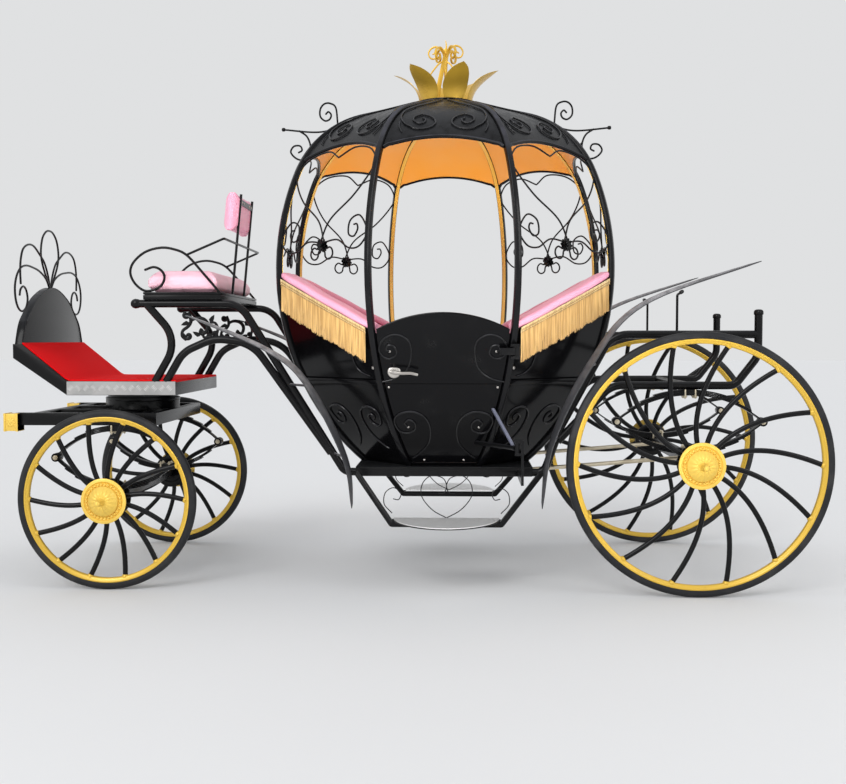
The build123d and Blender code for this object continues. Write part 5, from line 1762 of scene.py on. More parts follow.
@dataclass
class Frames:
    """Bent tubes, the radius rods, the base rails and what stands on them."""

    tube: float = 19.0
    cross: float = 16.0
    rod_y: float = 380.0

    def run(self, points: Pairs, bends: Sequence[float]) -> Shape:
        """A tube in the left side's plane."""
        return rod(bent([(x, -LAYOUT.side_y, z) for x, z in points], bends), self.tube, sides=20, domed=False)

    def front(self) -> Shape:
        """Tubes from the base to the driver's seat.

        Returns:
            The left side's tubes.
        """
        made = self.run([(-1500, LAYOUT.seat_z), (-985, LAYOUT.seat_z), (-480, LAYOUT.base_z), (-424, LAYOUT.base_z)],
                        [130, 50])
        made.join(self.run([(-1345, LAYOUT.board_top - 2), (-1262, 1118), (-1110, 1185), (-925, 1160),
                            (-545, LAYOUT.base_z + 90)], [150, 200, 190]))
        made.join(self.run([(-1400, LAYOUT.board_top - 2), (-1284, 1176), (-1440, LAYOUT.seat_z)], [150]))
        knob = [(0, 24), (12, 22), (20, 14), (24, 2), (22, -12), (self.tube, -18), (self.tube, -26)]
        made.join(lathe(knob, (-1490, -LAYOUT.side_y, LAYOUT.seat_z), (-1, 0, 0), 28))
        return made

    def rear(self) -> Shape:
        """Tubes behind the cabin, with their capped posts and hooks.

        Returns:
            The left side's tubes.
        """
        top = [(424, LAYOUT.base_z), (480, LAYOUT.base_z), (560, 760), (800, LAYOUT.rear_top),
               (LAYOUT.post_x, LAYOUT.rear_top)]
        low = [(545, 690), (800, LAYOUT.rear_low), (1385, LAYOUT.rear_low), (LAYOUT.post_x, 1100),
               (LAYOUT.post_x, 1306)]
        made = self.run(top, [50, 200, 130]).join(self.run(low, [120, 60, 90]))
        cap = [(self.tube, 1296), (22, 1297), (23, 1302), (22.5, 1312), (18, 1319), (9, 1322), (0, 1322.5)]
        made.join(lathe(cap, (LAYOUT.post_x, -LAYOUT.side_y, 0), (0, 0, 1), 28))
        y = -LAYOUT.side_y + 8
        hook = bent([(1110, y, LAYOUT.rear_top), (1110, y, 1392), (1110, y - 110, 1400)], [14])
        made.join(rod(hook, 6, sides=12), rod([(1110, y - 86, 1399), (1110, y - 122, 1402)], 9, 1, 14))
        return made

    def ornament(self) -> Shape:
        """Cast scroll under the driver's seat.

        Returns:
            The left casting.
        """
        lines = (
            ([*volute((-1248, 1298), 5, 17, 40, 400, 14), (-1222, 1272), (-1234, 1244), (-1262, 1222), (-1266, 1196),
              (-1248, 1178)], 8.6),
            ([*volute((-1236, 1196), 5, 18, 180, -180, 14), (-1262, 1206)], 8.0),
            ([(-1226, 1268), (-1196, 1282), (-1160, 1276), (-1140, 1250), (-1146, 1218), (-1170, 1202)], 8.6),
            ([*volute((-1166, 1214), 4, 14, 90, -250, 12), (-1160, 1190), (-1130, 1192), (-1100, 1180)], 7.4),
            ([*volute((-1108, 1206), 4, 13, 250, -60, 12), (-1092, 1230), (-1104, 1258), (-1128, 1262)], 7.4),
        )
        made = Shape()
        for points, radius in lines:
            path = flow([(x, -LAYOUT.side_y, z) for x, z in points], 3)
            made.join(sweep(path, circle(radius, 10), up=(0, 1, 0), swell=lambda u: 0.8 + 0.35 * sin(pi * u),
                            domed=True))
        for x, z, turn in ((-1150, 1192, 20), (-1178, 1196, 150), (-1096, 1184, -30), (-1232, 1262, 200),
                           (-1130, 1262, 60)):
            leaf = [(0, 0), (10, 11), (26, 8), (42, 0), (26, -8), (10, -11)]
            c, s = cos(radians(turn)), sin(radians(turn))
            outline = [(x + a * c - b * s, -LAYOUT.side_y - 5, z + a * s + b * c) for a, b in leaf]
            made.join(prism(outline, (0, 10, 0)))
        return made

    def base(self) -> Shape:
        """The rectangular base with its cross members.

        Returns:
            The base.
        """
        low, high, half_x, half_y, rail = 521, 561, 425, 465, 40
        made = Shape()
        for y in (-half_y, half_y - rail):
            made.join(box((-half_x, half_x), (y, y + rail), (low, high)))
        for x in (-half_x, -rail / 2 - 10, half_x - rail):
            made.join(box((x, x + (rail if abs(x) > 100 else 60)), (-half_y + rail, half_y - rail), (low, high)))
        return made

    def build(self) -> None:
        """Build the frames."""
        looks = [Look.CHASSIS, Look.RUBBER]
        self.front().both().piece("front_frame_tubes", looks, ["front_frames"])
        whole = self.rear().both()
        for x, z in ((LAYOUT.post_x, LAYOUT.rear_top), (REAR.x, LAYOUT.rear_low)):
            whole.join(rod([(x, -LAYOUT.side_y, z), (x, LAYOUT.side_y, z)], self.cross, sides=20, domed=False))
        whole.piece("rear_frame_tubes", looks, ["rear_frame"])
        self.ornament().both().piece("seat_scroll_castings", [Look.IRON])
        self.base().piece("base_rails", [Look.CHASSIS], ["base_frame"], bevel=3.0)
        rods = Shape()
        for y in (-self.rod_y, self.rod_y):
            rods.join(rod([(423, y, 548), (1147, y, 608)], 10, sides=18, domed=False))
        rods.piece("radius_rod_tubes", [Look.ZINC], ["radius_rods"], "gold_paint")


@dataclass
class Steps:
    """A hanging step on each side: mitred square tubes, a half-round tread and thin wire scrolls."""

    y: float = -540.0
    z: float = 302.0
    middle: float = 13.0
    half: float = 252.0
    deep: float = 308.0

    def hangers(self) -> Shape:
        """The mitred square tube.

        Returns:
            The left tube.
        """
        corners = [(-428, -LAYOUT.side_y, 545), (-248, self.y, self.z), (274, self.y, self.z),
                   (474, -LAYOUT.side_y, 545)]
        return sweep(bent(corners, [6, 6], 2), oblong(27, 27, 3.5, 2), up=(0, 1, 0))

    def reach(self, share: float) -> float:
        """How far the tread stands out from its straight edge, by the share of its half length."""
        return self.deep * sqrt(max(1 - share**2, 0.0)) ** 1.15

    def tread(self) -> Shape:
        """The half-round plate with its raised bars and a folded edge.

        Returns:
            The step on one side.
        """
        top, inner = self.z + 27, self.y + 24
        shares = [sin(radians(-90 + 5 * i)) for i in range(37)]
        edge = [(self.middle + self.half * share, inner - self.reach(share)) for share in shares]
        plate = prism([(x, y, top - 4) for x, y in edge], (0, 0, 4))
        lip = sweep([Vector((x, y, top - 7)) for x, y in edge], oblong(14, 3, 1.2, 2), up=(0, 0, 1), mark=1)
        made = Shape().join(plate, lip)
        for i in range(-11, 12):
            for j in range(16):
                x, y = self.middle + 22 * i, inner - 14 - 20 * j
                if abs(x - self.middle) < self.half - 22 and y > inner - self.reach((x - self.middle) / self.half) + 14:
                    made.join(raised_bar((x, y, top), (i + j) % 2, (1, 0, 0), (0, 1, 0), 9, 2.8, 0.9))
        return made

    def wires(self) -> Shape:
        """The heart and curls of thin wire between the base rail and the tread.

        Returns:
            The wires on one side.
        """
        heart = [(13, 312), (70, 344), (112, 396), (110, 446), (76, 478), (30, 470), (13, 440), (22, 412), (44, 408)]
        curl = [(230, 330), (262, 366), (258, 410), (226, 430), (196, 410), (204, 384), (226, 386)]
        hook = [(150, 500), (160, 478), (182, 476), (192, 500)]
        made = Shape()
        for points in (heart, curl, hook):
            for flip in (1, -1):
                line = [(self.middle + flip * (x - self.middle) * 1.2, self.y + 26 + up * 0.3, 328 + up * 1.18)
                        for x, up in ((x, z - 312) for x, z in points)]
                made.join(rod(flow(line, 7), 2.4, sides=7))
        return made

    def build(self) -> None:
        """Build both steps."""
        self.hangers().both().piece("step_tubes", [Look.CHASSIS], ["step_hangers"])
        # The treads take the bright plate finish: a painted highlight in place of the metal's reflection.
        self.tread().both().piece("step_plates", [Look.PLATE, Look.CHASSIS], ["step_treads"], "tread_plate")
        self.wires().both().piece("step_wires", [Look.IRON])


def raised_bar(place: Triple, turn: int, along: Triple, across: Triple, long: float = 8.0, wide: float = 2.6,
               high: float = 1.3) -> Shape:
    """One raised lozenge of tread plate.

    Args:
        place: the bar's middle.
        turn: which of the two slants, 0 or 1.
        along: the plate's first direction.
        across: the plate's second direction.
        long: half the bar's length.
        wide: half its width.
        high: how far it stands up.
    Returns:
        The bar.
    """
    a, b = Vector(along), Vector(across)
    lead = (a + b if turn else a - b).normalized()
    side = lead.cross(a.cross(b)).normalized()
    up = a.cross(b).normalized()
    centre = Vector(place)
    rim = [centre + lead * long, centre + side * wide + lead * 2, centre + side * wide - lead * 2, centre - lead * long,
           centre - side * wide - lead * 2, centre - side * wide + lead * 2]
    crest = [centre + lead * long * 0.6 + up * high, centre - lead * long * 0.6 + up * high]
    faces = [(0, 1, 6), (1, 2, 7, 6), (2, 3, 7), (3, 4, 7), (4, 5, 6, 7), (5, 0, 6)]
    return Shape().add([*rim, *crest], faces)


@dataclass
class Guards:
    """Slender leaf-shaped splash guards beside the wheels."""

    thick: float = 4.0
    wide: float = 55.0
    crown: float = 22.0

    def leaf(self, y: float, points: Pairs, stays: Sequence[tuple[int, float]]) -> Shape:
        """One guard, crowned along its middle, on two stays.

        Args:
            y: the guard's middle across the vehicle.
            points: (x, height) along its arch.
            stays: for each stay, the number of its point and the tube's x.
        Returns:
            The guard and its stays.
        """
        line = flow(points, 10)
        low, high = points[0][1], points[-1][1]
        rows, back = [], []
        for i, p in enumerate(line):
            way = (line[min(i + 1, len(line) - 1)] - line[max(i - 1, 0)]).normalized()
            rise = Vector((way.y, 0, -way.x)) if way.x < 0 else Vector((-way.y, 0, way.x))
            full = 1 - (2 * (p.y - low) / (high - low) - 1) ** 2
            half, crown = max(self.wide * full, 0.8), self.crown * full**0.5
            rows.append([Vector((p.x, -y + half * v, p.y)) + rise * crown * (1 - v * v)
                         for v in (-1, -0.75, -0.4, 0, 0.4, 0.75, 1)])
            back.append([q + rise * self.thick for q in rows[-1]])
        made = Shape().slab(rows, back)
        for i, tube_x in stays:
            made.join(rod([(tube_x, -LAYOUT.side_y, points[i][1]),
                           (points[i][0] + 2, -y + self.wide / 2, points[i][1])], 6, domed=False))
        return made

    def build(self) -> None:
        """Build the four guards."""
        front = self.leaf(640, [(-430, 390), (-470, 630), (-640, 963), (-820, 1120), (-1205, 1290)],
                          ((1, -531), (2, -749)))
        rear = self.leaf(700, [(458, 400), (510, 710), (680, 1061), (908, 1329), (1440, 1531)], ((1, 543), (2, 723)))
        Shape().join(front, rear).both().piece("splash_guards", [Look.GUARD], ["mudguards"])


@dataclass
class Footboard:
    """The driver's tray with its carpet, bright edging, arched dash and fan of rods."""

    half: float = 465.0
    toe_x: float = -2090.0
    front_x: float = -1828.0
    rear_x: float = -1298.0
    rise: float = 180.0
    ledge: float = 42.0
    bar_groups: int = 14
    bar_pitch: float = 37.0

    def carpet(self) -> bpy.types.Object:
        """The carpet, with a soft fold where the toe board begins.

        Returns:
            The carpet.
        """
        start_x = self.toe_x + self.ledge
        slope = self.rise / (self.front_x - start_x)
        rear, bend, floor = self.rear_x, self.front_x, LAYOUT.board_top
        profile = [(rear + 1, floor + 1), (rear + 0.5, floor + 5), (rear - 4, floor + 6), (bend + 30, floor + 6)]
        profile += [(bend + 8, floor + 7), (bend - 10, floor + 16), (start_x, floor + (bend - start_x) * slope + 7)]
        line = [Vector((x, z)) for x, z in profile]
        rows, back = [], []
        half = self.half - 9
        for p in line:
            rows.append([Vector((p.x, half * (j / 20 - 1), p.y)) for j in range(41)])
            back.append([q - Vector((0, 0, 5.5)) for q in rows[-1]])
        made = Shape().slab(rows, back).piece("red_carpet_sheet", [Look.CARPET], ["carpet"], "red_carpet", bevel=1.5)
        2 * half * MM
        return made

    def edging(self) -> Shape:
        """Bright tread plate along the tray's side.

        Returns:
            The plate on one side.
        """
        y = -self.half - 3.2
        made = box((self.front_x, self.rear_x), (y, -self.half), (LAYOUT.board_top - 66, LAYOUT.board_top - 1))
        for i in range(self.bar_groups):
            turn = i % 2
            for k in (-1.5, -0.5, 0.5, 1.5):
                rise = (-5.2 if turn else 5.2) * k
                shift = (self.front_x + 20 + self.bar_pitch * i + 5.2 * k, y, LAYOUT.board_top - 33 + rise)
                # The raised bars take the bright plate finish over the darker alloy: a painted highlight on the bars.
                made.join(raised_bar(shift, turn, (1, 0, 0), (0, 0, 1), 15 if turn else 13, 2.4, 3.2).marked(1))
        return made

    def dash(self) -> Shape:
        """The arched panel with a rolled rim.

        Returns:
            The panel and its rim.
        """
        low = LAYOUT.board_top + self.rise - 40
        half = [(-448, low + 18), (-402, 1242), (-347, 1299), (-205, 1395)]
        crest = flow([*half, (0, 1447), *[(-y, z) for y, z in reversed(half)]], 8)
        outline = [(self.toe_x + 4, p.x, p.y) for p in crest] + [(self.toe_x + 4, 448, low),
                                                                 (self.toe_x + 4, -448, low)]
        rim = [Vector((self.toe_x + 20, p.x, p.y)) for p in crest]
        return prism(outline, (34, 0, 0)).join(sweep(rim, oblong(5, 40, 1.6, 2), up=(1, 0, 0)))

    def fan(self) -> Shape:
        """Loops of bent rod above the dash.

        Returns:
            The loops.
        """
        big = [(8, 1440), (26, 1500), (78, 1572), (150, 1614), (226, 1648), (300, 1650), (366, 1624), (398, 1574),
               (408, 1512), (404, 1452)]
        low = [(8, 1440), (62, 1492), (150, 1526), (240, 1540), (325, 1545), (400, 1530), (452, 1490), (478, 1434),
               (470, 1372), (436, 1330), (388, 1318), (340, 1338), (318, 1380), (336, 1424), (372, 1440), (408, 1424),
               (420, 1396)]
        half = [(-10, 1442), (-62, 1506), (-112, 1572), (-128, 1630), (-104, 1698), (-52, 1736)]
        centre = [*half, (0, 1745), *[(-y, z) for y, z in reversed(half)]]
        made = Shape()
        x = self.toe_x + 20
        for flip in (-1, 1):
            for points in (big, low):
                made.join(rod(flow([(x, flip * y, z) for y, z in points], 6), 5.2))
        made.join(rod(flow([(x, y, z) for y, z in centre], 6), 5.2))
        return made

    def build(self, nodes: dict) -> None:
        """Build the footboard.

        Args:
            nodes: the CAD nodes by name.
        """
        high = LAYOUT.board_top + self.rise
        wedge = [(self.toe_x, -self.half, high - 1), (self.toe_x + self.ledge, -self.half, high),
                 (self.front_x, -self.half, LAYOUT.board_top)]
        tray = traced(nodes["footboard"]).join(prism(wedge, (0, 2 * self.half, 0)))
        tray.piece("footboard_tray", [Look.CHASSIS], ["footboard"], bevel=2.0)
        self.carpet()
        self.edging().both().piece("edging_plates", [Look.ALLOY, Look.PLATE], ["footboard_edging"], "tread_plate")
        self.dash().piece("dash_panel", [Look.BLACK], ["dash"], bevel=1.6)
        self.fan().piece("dash_fan", [Look.IRON])


@dataclass
class DriverSeat:
    """The seat board with its scroll rails and leaning uprights."""

    x: Pair = (-1448.0, -1070.0)
    half: float = 475.0
    z: Pair = (1371.0, 1407.0)

    def board(self) -> Shape:
        """The boxed seat board with a shadow line round it.

        Returns:
            The board.
        """
        x, y, z = self.x, self.half, self.z
        line = box((x[0] + 5, x[1] - 5), (-y + 5, y - 5), (z[0] + 20, z[0] + 26))
        return box(x, (-y, y), (z[0], z[0] + 22)).join(line, box(x, (-y, y), (z[0] + 25, z[1])))

    def rails(self) -> Shape:
        """Side scrolls, back rail and uprights.

        Returns:
            The rails of both sides.
        """
        y, top = -self.half + 10, self.z[1]
        side = [(-1081, top), (-1160, 1500), (-1238, 1585), (-1306, 1614), (-1369, 1619), (-1440, 1598), (-1495, 1550),
                (-1511, 1500), (-1490, 1450), (-1446, 1415), (-1400, 1417), (-1360, 1440), (-1345, 1480), (-1362, 1512),
                (-1397, 1527), (-1439, 1514)]
        made = rod(flow([(x, y, z) for x, z in side], 6), 6.2).both()
        made.join(rod(bent([(-1238, y, 1585), (-1056, y, 1663), (-1056, -y, 1663), (-1238, -y, 1585)], [12, 12], 4),
                      6.0))
        for side_y in (-153, 153):
            made.join(sweep([Vector((-1080, side_y, top - 1)), Vector((-1031, side_y, 1912))], oblong(12, 12, 2, 2),
                            up=(0, 1, 0)))
        z, slant = 1874, 49 / 505
        x = -1080 + (z - top) * slant
        made.join(box((x - 3, x + 3), (-153, 153), (z - 14, z + 14)))
        for side_y in (-120, -70, 70, 120):
            made.join(screw((x + 3, side_y, z), (1, 0, 0.1), 6, 1))
        return made

    def build(self) -> None:
        """Build the seat's ironwork."""
        self.board().piece("driver_seat_board", [Look.CHASSIS], ["driver_seat_frame"], bevel=2.0)
        self.rails().piece("driver_seat_rails", [Look.IRON, Look.CHROME])


@dataclass
class ForeCarriage:
    """The turning frame's gold caps and its plates."""

    cap_x: Pair = (-2134.0, -2062.0)
    z: Pair = (734.0, 822.0)

    def cap(self) -> Shape:
        """A cast end cap with moulded edges, corner beads and a flower on each face.

        Returns:
            The cap on one beam.
        """
        (x0, x1), (z0, z1) = self.cap_x, self.z
        y0, y1 = -LAYOUT.side_y - 44, -LAYOUT.side_y + 44
        mid_x, mid_z = (x0 + x1) / 2 + 2, (z0 + z1) / 2
        made = box((x0 + 5, x1), (y0 + 2.5, y1 - 2.5), (z0 + 2.5, z1 - 2.5))
        made.join(box((x1 - 10, x1), (y0, y1), (z0, z1)), box((x0 + 3, x0 + 12), (y0, y1), (z0, z1)))
        for place, axis in (((mid_x, y0 + 2.5, mid_z), (0, -1, 0)), ((x0 + 4, -LAYOUT.side_y, mid_z), (-1, 0, 0))):
            made.join(self.flower(place, axis))
        for sy in (y0 + 8, y1 - 8):
            for sz in (z0 + 8, z1 - 8):
                made.join(lathe([(5, 0), (4.5, 2.4), (2.6, 3.2), (0, 3.2)], (x0 + 3.2, sy, sz), (-1, 0, 0), 12))
        return made

    def flower(self, place: Triple, axis: Triple) -> Shape:
        """A low eight-petalled flower.

        Args:
            place: the flower's middle.
            axis: the way that it faces.
        Returns:
            The flower.
        """
        def ripple(r: float, h: float, angle: float) -> Pair:
            """Scallop the rim."""
            return r * (0.74 + 0.26 * abs(cos(4 * angle))), h
        return lathe([(24, -1), (23, 1.5), (17, 3.4), (11, 2.2), (9, 3.6), (5, 4.4), (0, 4.6)], place, axis, 64,
                     ripple=ripple)

    def build(self, nodes: dict) -> None:
        """Build the fore carriage's dressing.

        Args:
            nodes: the CAD nodes by name.
        """
        traced(nodes["turning_subframe"]).piece("subframe_beams", [Look.CHASSIS], ["turning_subframe"], body=FRONT.body,
                                                bevel=2.0)
        self.cap().both().piece("gold_beam_caps", [Look.CAST], ["beam_caps"], "gold_paint", FRONT.body, 2.4)
        ring = [(70, 866.5), (188, 866.5), (190, 869), (190, 880), (178, 884), (178, 900), (186, 908.5), (70, 908.5)]
        made = lathe(ring, (LAYOUT.king_x, 0, 0), (0, 0, 1), 72, closed=True)
        made.join(rod([(LAYOUT.king_x, 0, 750), (LAYOUT.king_x, 0, 880)], 16, sides=24, domed=False),
                  bolt((LAYOUT.king_x, 0, 760), (0, 0, -1), 20))
        made.piece("turntable_plate", [Look.CHASSIS], ["upper_turntable"])


@dataclass
class Trim:
    """Padded rolls along the window sills with their braid and hanging fringe."""

    thick: float = 82.0
    strands: int = 330
    cord_steps: int = 240
    clear: float = 29.0

    def roll(self, gore: Gore, top: Edge) -> Shape:
        """A padded roll on one panel's top edge.

        Args:
            gore: the panel's face.
            top: the panel's top edge.
        Returns:
            The roll.
        """
        columns, rows = 30, []
        s_edge = [gore.crossing(top, 2 * c / columns - 1, 17) for c in range(columns + 1)]
        for c, s in enumerate(s_edge):
            share = 2 * c / columns - 1
            t = share * gore.half(s, 17)
            centre_s = OUTLINE.at_height(OUTLINE.panel(s)[1] + 20, OUTLINE.flat)
            pinch = 1 - 0.25 * abs(share) ** 8
            row = []
            for a, b in oblong(self.thick - 4, 40, 17, 4):
                point = gore.place(t, centre_s, 0)
                outward = (gore.place(t, centre_s, 10) - point).normalized()
                row.append(point + outward * (a * pinch - 29)
                           + Vector((0, 0, b * pinch + 1.6 * sin(7 * share + gore.facing))))
            rows.append(row)
        made = Shape().grid(rows, across=True)
        numbers = list(range(len(rows[0])))
        return made.add(rows[0], [numbers[::-1]]).add(rows[-1], [numbers])

    def rolls(self) -> None:
        """All six rolls as one padded piece."""
        made = Shape()
        for gore in CABIN.quarters:
            made.join(self.roll(gore, CABIN.quarter_top))
        for gore in CABIN.ends:
            made.join(self.roll(gore, level(CABIN.quarter_high)))
        made.piece("sill_pads", [Look.PINK], ["top_rolls"], "pink_leather")

    def fringe(self) -> None:
        """Braid with two twisted cords, and strands that hang plumb below it."""
        dice = random.Random(7)
        braid, strands = Shape(), Shape()
        for gore in CABIN.quarters:
            braid.join(gore.panel(CABIN.lowered(22), CABIN.lowered(-6), (16, 12.5), 28, 40, 3))
            for drop, wave in ((8, 3.2), (19, 2.0)):
                line = []
                for c in range(self.cord_steps + 1):
                    share = 2 * c / self.cord_steps - 1
                    s = gore.crossing(CABIN.lowered(drop + wave * sin(c * 1.3)), share, self.clear)
                    line.append(gore.place(share * gore.half(s, self.clear), s, 16.5 + 0.8 * cos(c * 1.3)))
                braid.join(sweep(line, circle(2.1, 6), mark=1))
            for layer in (0, 1):
                for c in range(self.strands):
                    if c % 9 == 0:
                        drift, gather, uneven = dice.uniform(-4.5, 4.5), dice.uniform(0.1, 0.45), dice.uniform(-6, 4)
                    share = (2 * (c + 0.5 * layer) / self.strands - 1) * 0.995
                    s = gore.crossing(CABIN.lowered(16), share, self.clear)
                    t = share * gore.half(s, self.clear)
                    head = gore.place(t, s, 13.5 - 3 * layer)
                    away = (gore.place(t, s, 30) - head).normalized()
                    along = (gore.place(t + 5, s, 13.5) - gore.place(t, s, 13.5)).normalized()
                    long = CABIN.fringe - 12 + dice.uniform(-7, 4) + uneven
                    sway = dice.uniform(-2.5, 2.5) + drift + gather * 2.0 * (4 - c % 9)
                    lean = dice.uniform(-3.0, 2.2) + 0.4 * drift
                    line = []
                    for k in range(6):
                        u = k / 5
                        wave = lean * u + 1.5 * sin(3 * u + share * 40)
                        line.append(head + along * sway * u * u + away * wave - Vector((0, 0, long * u)))
                    strands.join(sweep(line, circle(1.75, 4), up=tuple(away), swell=lambda u: 1.0 - 0.25 * u))
        braid.piece("gold_braid", [Look.BRAID, Look.CORD], (), "gold_fringe")
        strands.piece("gold_fringe_strands", [Look.FRINGE], ["fringes"], "gold_fringe")

    def build(self) -> None:
        """Build the trim."""
        self.rolls()
        self.fringe()


@dataclass(frozen=True)
class Pad:
    """A stuffed piece made from its CAD solid: remeshed, blown up by cloth pressure and capped."""

    node: str
    name: str
    body: str = "coach"
    voxel: float = 0.007
    shrink: float = 0.004
    cap: float = 0.012
    fill: float = 0.7
    look: Look = Look.PINK
    rounding: int = 26
    roll: float = 0.0
    thin: int = 2
    lean: float = 0.0

    def rolled(self, made: bpy.types.Object) -> None:
        """Round the edges right over, as thick stuffing does, about the thin direction's middle.

        Args:
            made: the pad.
        """
        points = made.data.vertices
        wide = [axis for axis in range(3) if axis != self.thin]
        low, high = ([pick(v.co[axis] for v in points) for axis in range(3)] for pick in (min, max))
        middle_z = (low[2] + high[2]) / 2
        middle = (low[self.thin] + high[self.thin]) / 2
        for vertex in points:
            tilt = self.lean * (vertex.co[2] - middle_z)
            depth = min(min(vertex.co[axis] - low[axis], high[axis] - vertex.co[axis]) for axis in wide)
            share = min(depth / self.roll, 1.0)
            bulge = 0.35 + 0.65 * sqrt(1 - (1 - share) ** 2)
            vertex.co[self.thin] = middle + tilt + (vertex.co[self.thin] - middle - tilt) * bulge

    def build(self, nodes: dict) -> bpy.types.Object:
        """Make the pad.

        Args:
            nodes: CAD objects by name.
        Returns:
            The padded object.
        """
        mesh = nodes[self.node].data.copy()
        work = welded(mesh)
        work.to_mesh(mesh)
        work.free()
        made = linked(self.name, mesh)
        for kind, settings in (
            ("REMESH", {"mode": "VOXEL", "voxel_size": self.voxel}),
            ("SMOOTH", {"iterations": self.rounding, "factor": 0.5}),
            ("DISPLACE", {"strength": -self.shrink, "mid_level": 0.0}),
        ):
            modifier = made.modifiers.new(kind.lower(), kind)
            for key, value in settings.items():
                setattr(modifier, key, value)
        self.bake(made)
        if self.roll:
            self.rolled(made)
        self.inflate(made)
        for polygon in made.data.polygons:
            polygon.use_smooth = True
        made.data.materials.clear()
        made.data.materials.append(self.look.material())
        settle(made, self.body, [self.node])
        return made

    def bake(self, made: bpy.types.Object) -> None:
        """Apply the modifiers by replacing the mesh.

        Args:
            made: the pad.
        """
        graph = bpy.context.evaluated_depsgraph_get()
        mesh = bpy.data.meshes.new_from_object(made.evaluated_get(graph))
        made.modifiers.clear()
        made.data = mesh

    def inflate(self, made: bpy.types.Object) -> None:
        """Blow the pad up with cloth pressure and cap how far each point moves.

        Args:
            made: the pad.
        """
        rest = [v.co.copy() for v in made.data.vertices]
        cloth = made.modifiers.new("cloth", "CLOTH")
        cloth.settings.use_pressure = True
        cloth.settings.uniform_pressure_force = 4.0
        cloth.settings.effector_weights.gravity = 0.0
        cloth.settings.quality = 4
        scene = bpy.context.scene
        for number in range(1, 21):
            scene.frame_set(number)
        self.bake(made)
        scene.frame_set(1)
        for vertex, start in zip(made.data.vertices, rest):
            move = vertex.co - start
            if move.length > self.cap:
                vertex.co = start + move.normalized() * self.cap


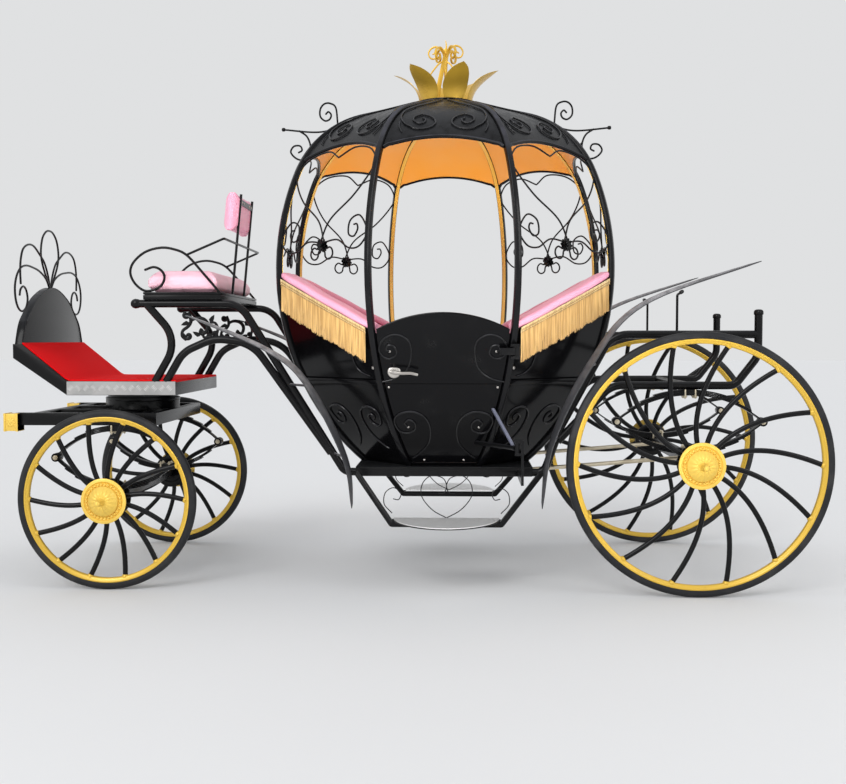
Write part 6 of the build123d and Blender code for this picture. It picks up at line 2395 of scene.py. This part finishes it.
@dataclass
class Studio:
    """Floor, soft lights and the camera."""

    focus: float = 1150.0
    frame_wide: int = 846
    sensor: float = 36.0
    eye: Triple = (0.2764, -5.9717, 1.1789)
    tilt: float = 0.0456
    turn: float = 0.0345
    aim: Triple = (0, 0, 1.6)
    floor_reach: float = 60.0
    sky: tuple[Triple, float] = ((0.95, 0.97, 1.0), 0.82)
    backdrop: tuple[Triple, float] = ((0.98, 0.99, 1.0), 0.76)

    def lamp(self, name: str, kind: str, place: Triple, power: float, mirrored: bool = True,
             **settings: float | str) -> None:
        """A lamp that looks at the cabin's middle.

        Args:
            name: the lamp's name.
            kind: AREA or SUN.
            place: where it stands.
            power: its energy.
            mirrored: it shows in shiny surfaces.
            settings: further settings of the lamp.
        """
        data = bpy.data.lights.new(name, kind)
        data.energy = power
        for key, value in settings.items():
            setattr(data, key, value)
        made = linked(name, data)
        made.location = place
        made.visible_glossy, made.visible_camera = mirrored, False
        made.rotation_euler = (Vector(self.aim) - Vector(place)).to_track_quat("-Z", "Y").to_euler()

    def floor(self) -> None:
        """A wide pale floor."""
        mesh = bpy.data.meshes.new("studio_floor")
        far = self.floor_reach
        mesh.from_pydata([(-far, -far, 0), (far, -far, 0), (far, far, 0), (-far, far, 0)], [], [(0, 1, 2, 3)])
        mesh.materials.append(Look.FLOOR.material())
        linked("studio_floor", mesh)

    def world(self) -> None:
        """Even soft light; the camera, metal and glass see a plain pale backdrop."""
        world = bpy.data.worlds.new("studio")
        bpy.context.scene.world = world
        world.use_nodes = True
        tree = world.node_tree
        tree.nodes.clear()
        path, mix = tree.nodes.new("ShaderNodeLightPath"), tree.nodes.new("ShaderNodeMixShader")
        seen = path.outputs["Is Camera Ray"]
        for ray in ("Is Glossy Ray", "Is Transmission Ray"):
            either = tree.nodes.new("ShaderNodeMath")
            either.operation, either.use_clamp = "ADD", True
            tree.links.new(seen, either.inputs[0])
            tree.links.new(path.outputs[ray], either.inputs[1])
            seen = either.outputs[0]
        tree.links.new(seen, mix.inputs[0])
        for i, (colour, strength) in enumerate((self.sky, self.backdrop)):
            light = tree.nodes.new("ShaderNodeBackground")
            light.inputs["Color"].default_value = (*colour, 1.0)
            light.inputs["Strength"].default_value = strength
            tree.links.new(light.outputs[0], mix.inputs[1 + i])
        out = tree.nodes.new("ShaderNodeOutputWorld")
        tree.links.new(mix.outputs[0], out.inputs["Surface"])

    def camera(self) -> None:
        """The camera at the photograph's viewing angle."""
        data = bpy.data.cameras.new("camera")
        data.sensor_width = self.sensor
        data.lens = self.focus * self.sensor / self.frame_wide
        made = linked("camera", data)
        made.location = self.eye
        made.rotation_euler = (pi / 2 - self.tilt, 0, self.turn)
        bpy.context.scene.camera = made

    def build(self) -> None:
        """Build the studio."""
        self.floor()
        self.world()
        self.lamp("soft_sun", "SUN", (-1.6, -4.2, 5.0), 0.85, angle=0.45)
        self.lamp("low_fill", "AREA", (0.3, -3.2, 0.4), 17.0, mirrored=False, shape="RECTANGLE", size=2.6, size_y=0.5,
                  spread=1.25)
        self.lamp("front_panel", "AREA", (-3.6, -5.4, 3.2), 34.0, shape="RECTANGLE", size=1.4, size_y=2.8)
        self.lamp("rear_panel", "AREA", (4.2, -3.6, 3.0), 26.0, shape="RECTANGLE", size=1.0, size_y=2.4)
        bpy.context.scene.view_settings.view_transform = "Standard"
        self.camera()


CARRIED = (
    ("cabin_floor", Look.CHASSIS), ("hinge_mounts", Look.IRON), ("seat_boxes", Look.BLACK),
)
PADS = (
    Pad("driver_cushion", "driver_bolster", voxel=0.006, cap=0.010, fill=0.85, look=Look.ROSE, rounding=40, roll=0.06),
    Pad("back_rest", "driver_back_pad", voxel=0.005, cap=0.008, fill=0.85, rounding=40, roll=0.04, thin=0,
        lean=49 / 505),
    Pad("seat_cushion_front", "front_seat_pad", voxel=0.010, cap=0.02),
    Pad("seat_cushion_rear", "rear_seat_pad", voxel=0.010, cap=0.02),
    Pad("back_cushion_front", "front_back_pads", voxel=0.010, cap=0.004, shrink=0.006),
    Pad("back_cushion_rear", "rear_back_pads", voxel=0.010, cap=0.004, shrink=0.006),
)


def main() -> None:
    """Build every sub-assembly in order."""
    logging.basicConfig(level=logging.INFO, format="%(message)s")
    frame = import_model()
    nodes = frame["nodes"]
    for name, look in CARRIED:
        for slot in nodes[name].material_slots:
            slot.material = look.material()
    Shell().build()
    Doors().build()
    Ironwork().build()
    Crown().build()
    for axle in (FRONT, REAR):
        for side in ("left", "right"):
            Wheel(axle, side).build()
    for axle in (FRONT, REAR):
        Springing(axle).build()
    Frames().build()
    Steps().build()
    Guards().build()
    Footboard().build(nodes)
    DriverSeat().build()
    ForeCarriage().build(nodes)
    Trim().build()
    for pad in PADS:
        pad.build(nodes)
    Studio().build()


if __name__ == "__main__":
    main()
